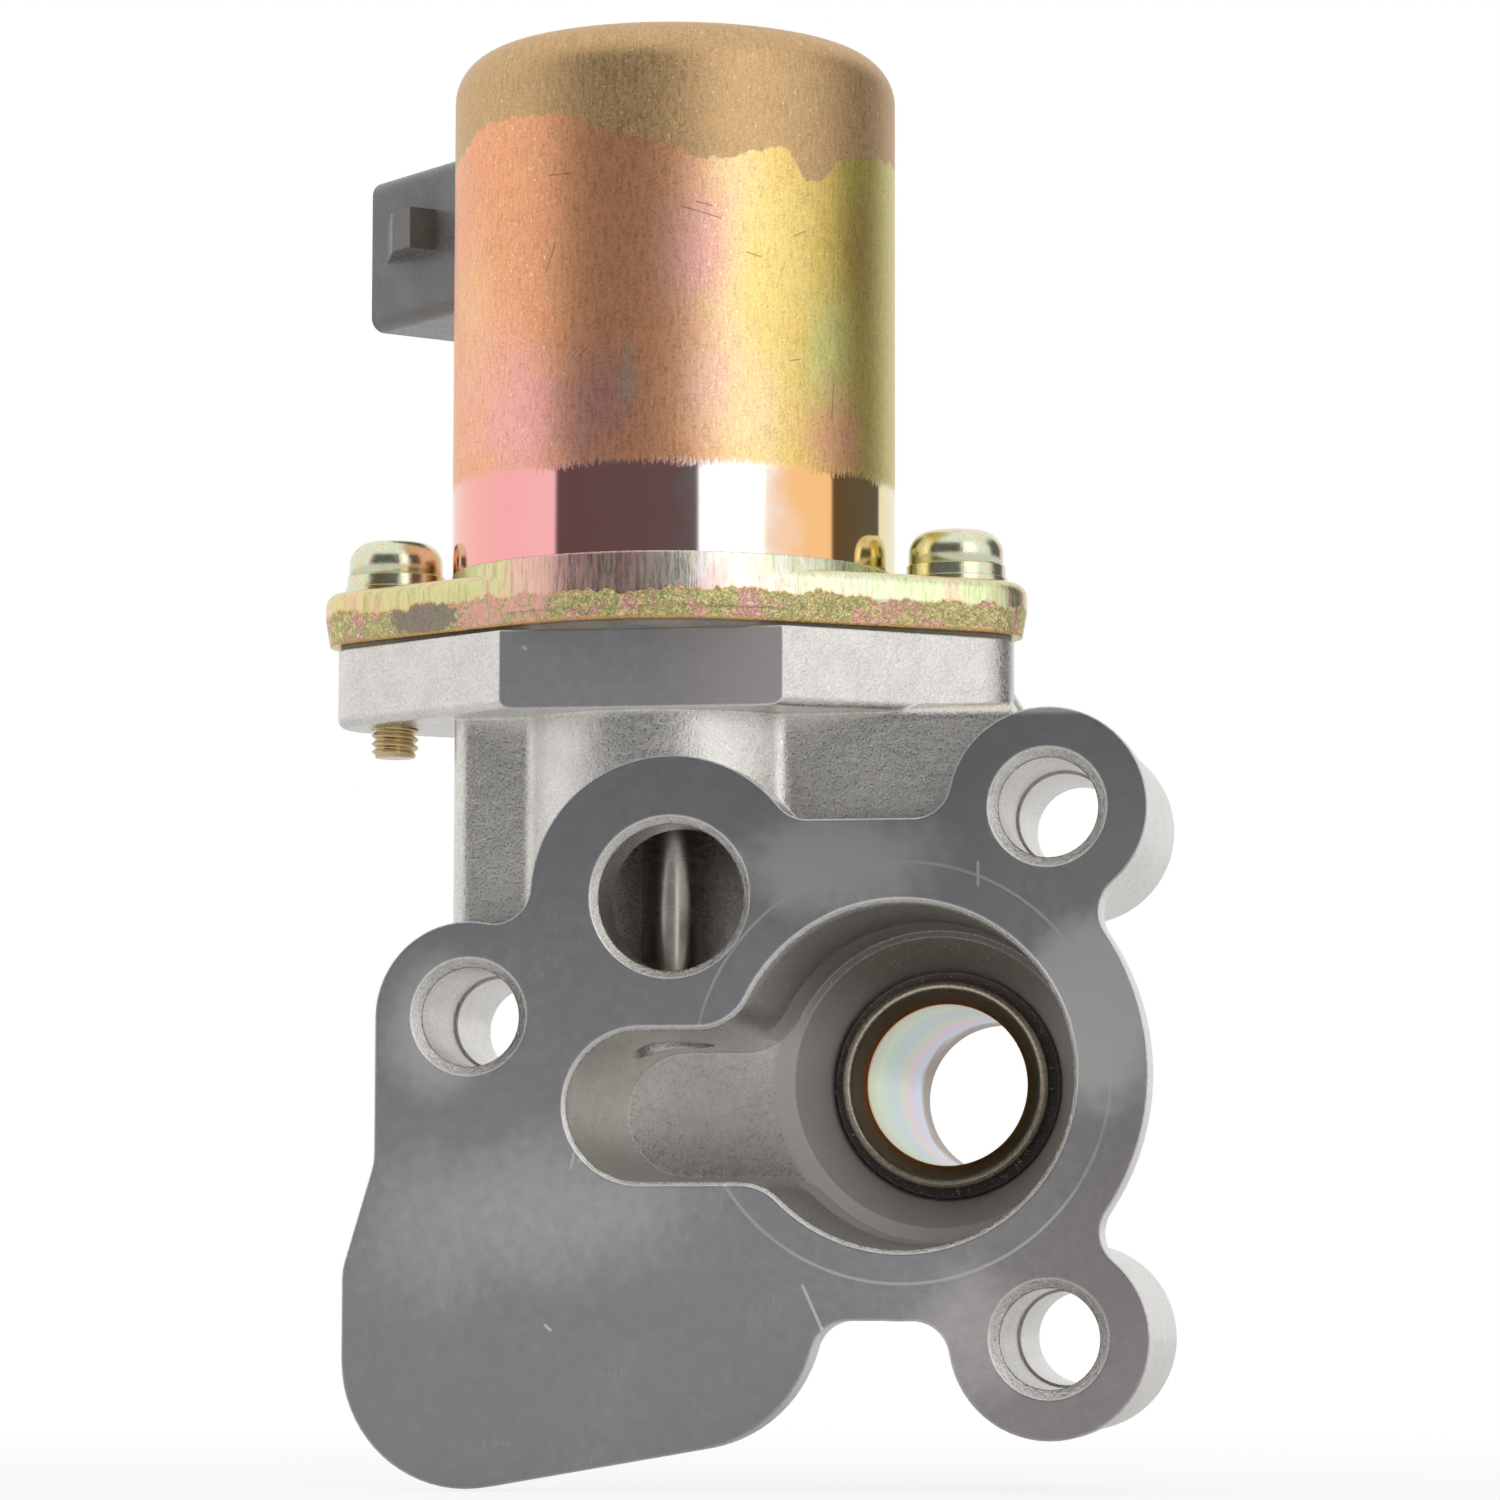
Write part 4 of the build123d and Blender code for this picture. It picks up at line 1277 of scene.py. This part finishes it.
@dataclass
class ValveTrain(Group):
    """The moving pieces on the valve's axis, their bush and their spring."""

    lift: float = 3.0
    wear: Outfit = (
        (TurnedMetal("ground_steel", (0.70, 0.67, 0.62), (0.60, 0.57, 0.52), 0.2, 0.12),
         ("valve_rod", "retaining_clip", "return_spring")),
        (TurnedMetal("valve_brass", (0.88, 0.66, 0.32), (0.64, 0.45, 0.19)),
         ("valve_head", "rod_bush")),
        (TurnedMetal("plunger_iron", (0.58, 0.57, 0.56), (0.36, 0.35, 0.35)), ("plunger",)),
    )

    def build(self, nodes: Nodes) -> None:
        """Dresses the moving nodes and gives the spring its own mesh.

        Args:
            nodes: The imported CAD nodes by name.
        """
        super().build(nodes)
        self.shorten(nodes["return_spring"])

    def shorten(self, spring: Piece) -> None:
        """Gives the spring its own copy of its mesh.

        Args:
            spring: The spring's node.
        """
        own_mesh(spring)


@dataclass
class CableSocket(Group):
    """The moulded cable socket and its blades."""

    wear: Outfit = (
        (MouldedPlastic("dark_grey_plastic", (0.19, 0.182, 0.174), (0.15, 0.143, 0.136), 0.22, 2.6),
         ("connector_housing",)),
        (TurnedMetal("tinned_blade", (0.78, 0.77, 0.74), (0.62, 0.61, 0.58)),
         ("terminal_left", "terminal_right")),
    )


@dataclass
class PhotoCamera:
    """The camera that was fitted to the photograph's round edges."""

    place: tuple[float, float, float] = (85.753, -447.057, 3.38)
    yaw: float = -9.729
    pitch: float = 5.57
    roll: float = -0.124
    focal_pixels: float = 5600.0
    frame_pixels: float = 1500.0
    sensor: float = 36.0
    clip: Pair = (0.01, 50.0)

    def build(self) -> None:
        """Makes the camera and hands it to the scene."""
        data = bpy.data.cameras.new("photo_camera")
        data.sensor_width = self.sensor
        data.lens = self.focal_pixels / self.frame_pixels * self.sensor
        data.clip_start, data.clip_end = self.clip
        made = bpy.data.objects.new("photo_camera", data)
        right, down, forward = self.axes()
        turn = Matrix([(right[i], -down[i], -forward[i]) for i in range(3)]).to_4x4()
        made.matrix_world = Matrix.Translation([v * MM for v in self.place]) @ turn
        bpy.context.scene.collection.objects.link(made)
        bpy.context.scene.camera = made

    def axes(self) -> tuple[np.ndarray, np.ndarray, np.ndarray]:
        """Works out the camera's right, down and forward directions from its three turns."""
        yaw, pitch, roll = np.radians([self.yaw, self.pitch, self.roll])
        ahead = np.cos(pitch)
        forward = np.array([np.sin(yaw) * ahead, np.cos(yaw) * ahead, np.sin(pitch)])
        level = np.array([np.cos(yaw), -np.sin(yaw), 0.0])
        down = np.cross(forward, level)
        right = np.cos(roll) * level + np.sin(roll) * down
        return right, -np.sin(roll) * level + np.cos(roll) * down, forward


@dataclass
class Studio:
    """A white tent with two dark cards and one bright panel, and a pale floor."""

    floor_height: float = -12.4
    floor_size: float = 3000.0
    floor_colour: Colour = (0.86, 0.86, 0.86)
    tent: float = 0.95
    panel: float = 1.5
    card: float = 0.12
    front_card: Pair = (-53.0, 23.0)
    bright_panel: Pair = (23.0, 58.0)
    side_card: Pair = (100.0, 144.0)
    card_top: float = 0.62
    card_foot: float = -0.75
    level_soft: float = 0.25
    side_soft: float = 3.0
    shadow_reach: Pair = (40.0, 220.0)
    shadow_glow: float = 0.84

    def build(self) -> None:
        """Makes the surroundings and the floor."""
        self.surround()
        self.floor()

    def surround(self) -> None:
        """Writes the world: white, with the cards and the panel set by their bearings."""
        world = bpy.data.worlds.new("studio")
        world.use_nodes = True
        bpy.context.scene.world = world
        g = Graph(world.node_tree)
        x, y, z = g.split(g.node("ShaderNodeTexCoord").outputs["Generated"])
        turn = g.sum(Calc.ARCTAN2, x, y * -1.0) * (180.0 / math.pi)
        level = g.window(z, self.card_foot, self.card_top, self.level_soft)
        front, side, bright = (
            g.window(turn, *ends, self.side_soft) * level
            for ends in (self.front_card, self.side_card, self.bright_panel)
        )
        light = g.between(bright, self.tent, self.panel)
        light = g.between(g.sum(Calc.MAXIMUM, front, side), light, self.card)
        seen = g.node("ShaderNodeLightPath").outputs["Is Camera Ray"]
        back = g.node("ShaderNodeBackground")
        g.feed(back.inputs["Color"], (1.0, 1.0, 1.0))
        g.feed(back.inputs["Strength"], g.between(seen, light, 1.0))
        out = g.node("ShaderNodeOutputWorld")
        g.tree.links.new(back.outputs[0], out.inputs["Surface"])

    def floor(self) -> None:
        """Lays the pale floor, which keeps the valve's shadow near it and is white far off."""
        half = self.floor_size / 2 * MM
        height = self.floor_height * MM
        mesh = bpy.data.meshes.new("studio_floor")
        rim = [(x * half, y * half, height) for x, y in ((-1, -1), (1, -1), (1, 1), (-1, 1))]
        mesh.from_pydata(rim, [], [(0, 1, 2, 3)])
        made = bpy.data.objects.new("studio_floor", mesh)
        bpy.context.scene.collection.objects.link(made)
        g = SurfaceGraph("pale_floor")
        matt = g.node("ShaderNodeBsdfDiffuse")
        g.feed(matt.inputs["Color"], self.floor_colour)
        glow = g.node("ShaderNodeEmission")
        away = g.length(g.x, g.y - AXIS_DEPTH)
        far = g.span(away, *self.shadow_reach, self.shadow_glow, 1.0)
        seen = g.node("ShaderNodeLightPath").outputs["Is Camera Ray"] * far
        mix = g.node("ShaderNodeMixShader")
        g.feed(mix.inputs[0], seen)
        g.tree.links.new(matt.outputs[0], mix.inputs[1])
        g.tree.links.new(glow.outputs[0], mix.inputs[2])
        out = g.node("ShaderNodeOutputMaterial")
        g.tree.links.new(mix.outputs[0], out.inputs["Surface"])
        mesh.materials.append(g.material)


def dress(node: Piece, material: Material) -> None:
    """Gives a piece one material in every slot.

    Args:
        node: The piece.
        material: Its finish.
    """
    if not node.material_slots:
        node.data.materials.append(material)
    for slot in node.material_slots:
        slot.material = material


def main() -> None:
    """Loads the frame and builds the picture, group by group."""
    logging.basicConfig(level=logging.INFO, format="%(name)s: %(message)s")
    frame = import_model()
    bpy.context.scene.view_settings.view_transform = "Standard"
    PhotoCamera().build()
    Studio().build()
    for group in (HousingGroup(), SolenoidGroup(), FlangeScrews(), ValveTrain(), CableSocket()):
        group.build(frame["nodes"])


if __name__ == "__main__":
    main()
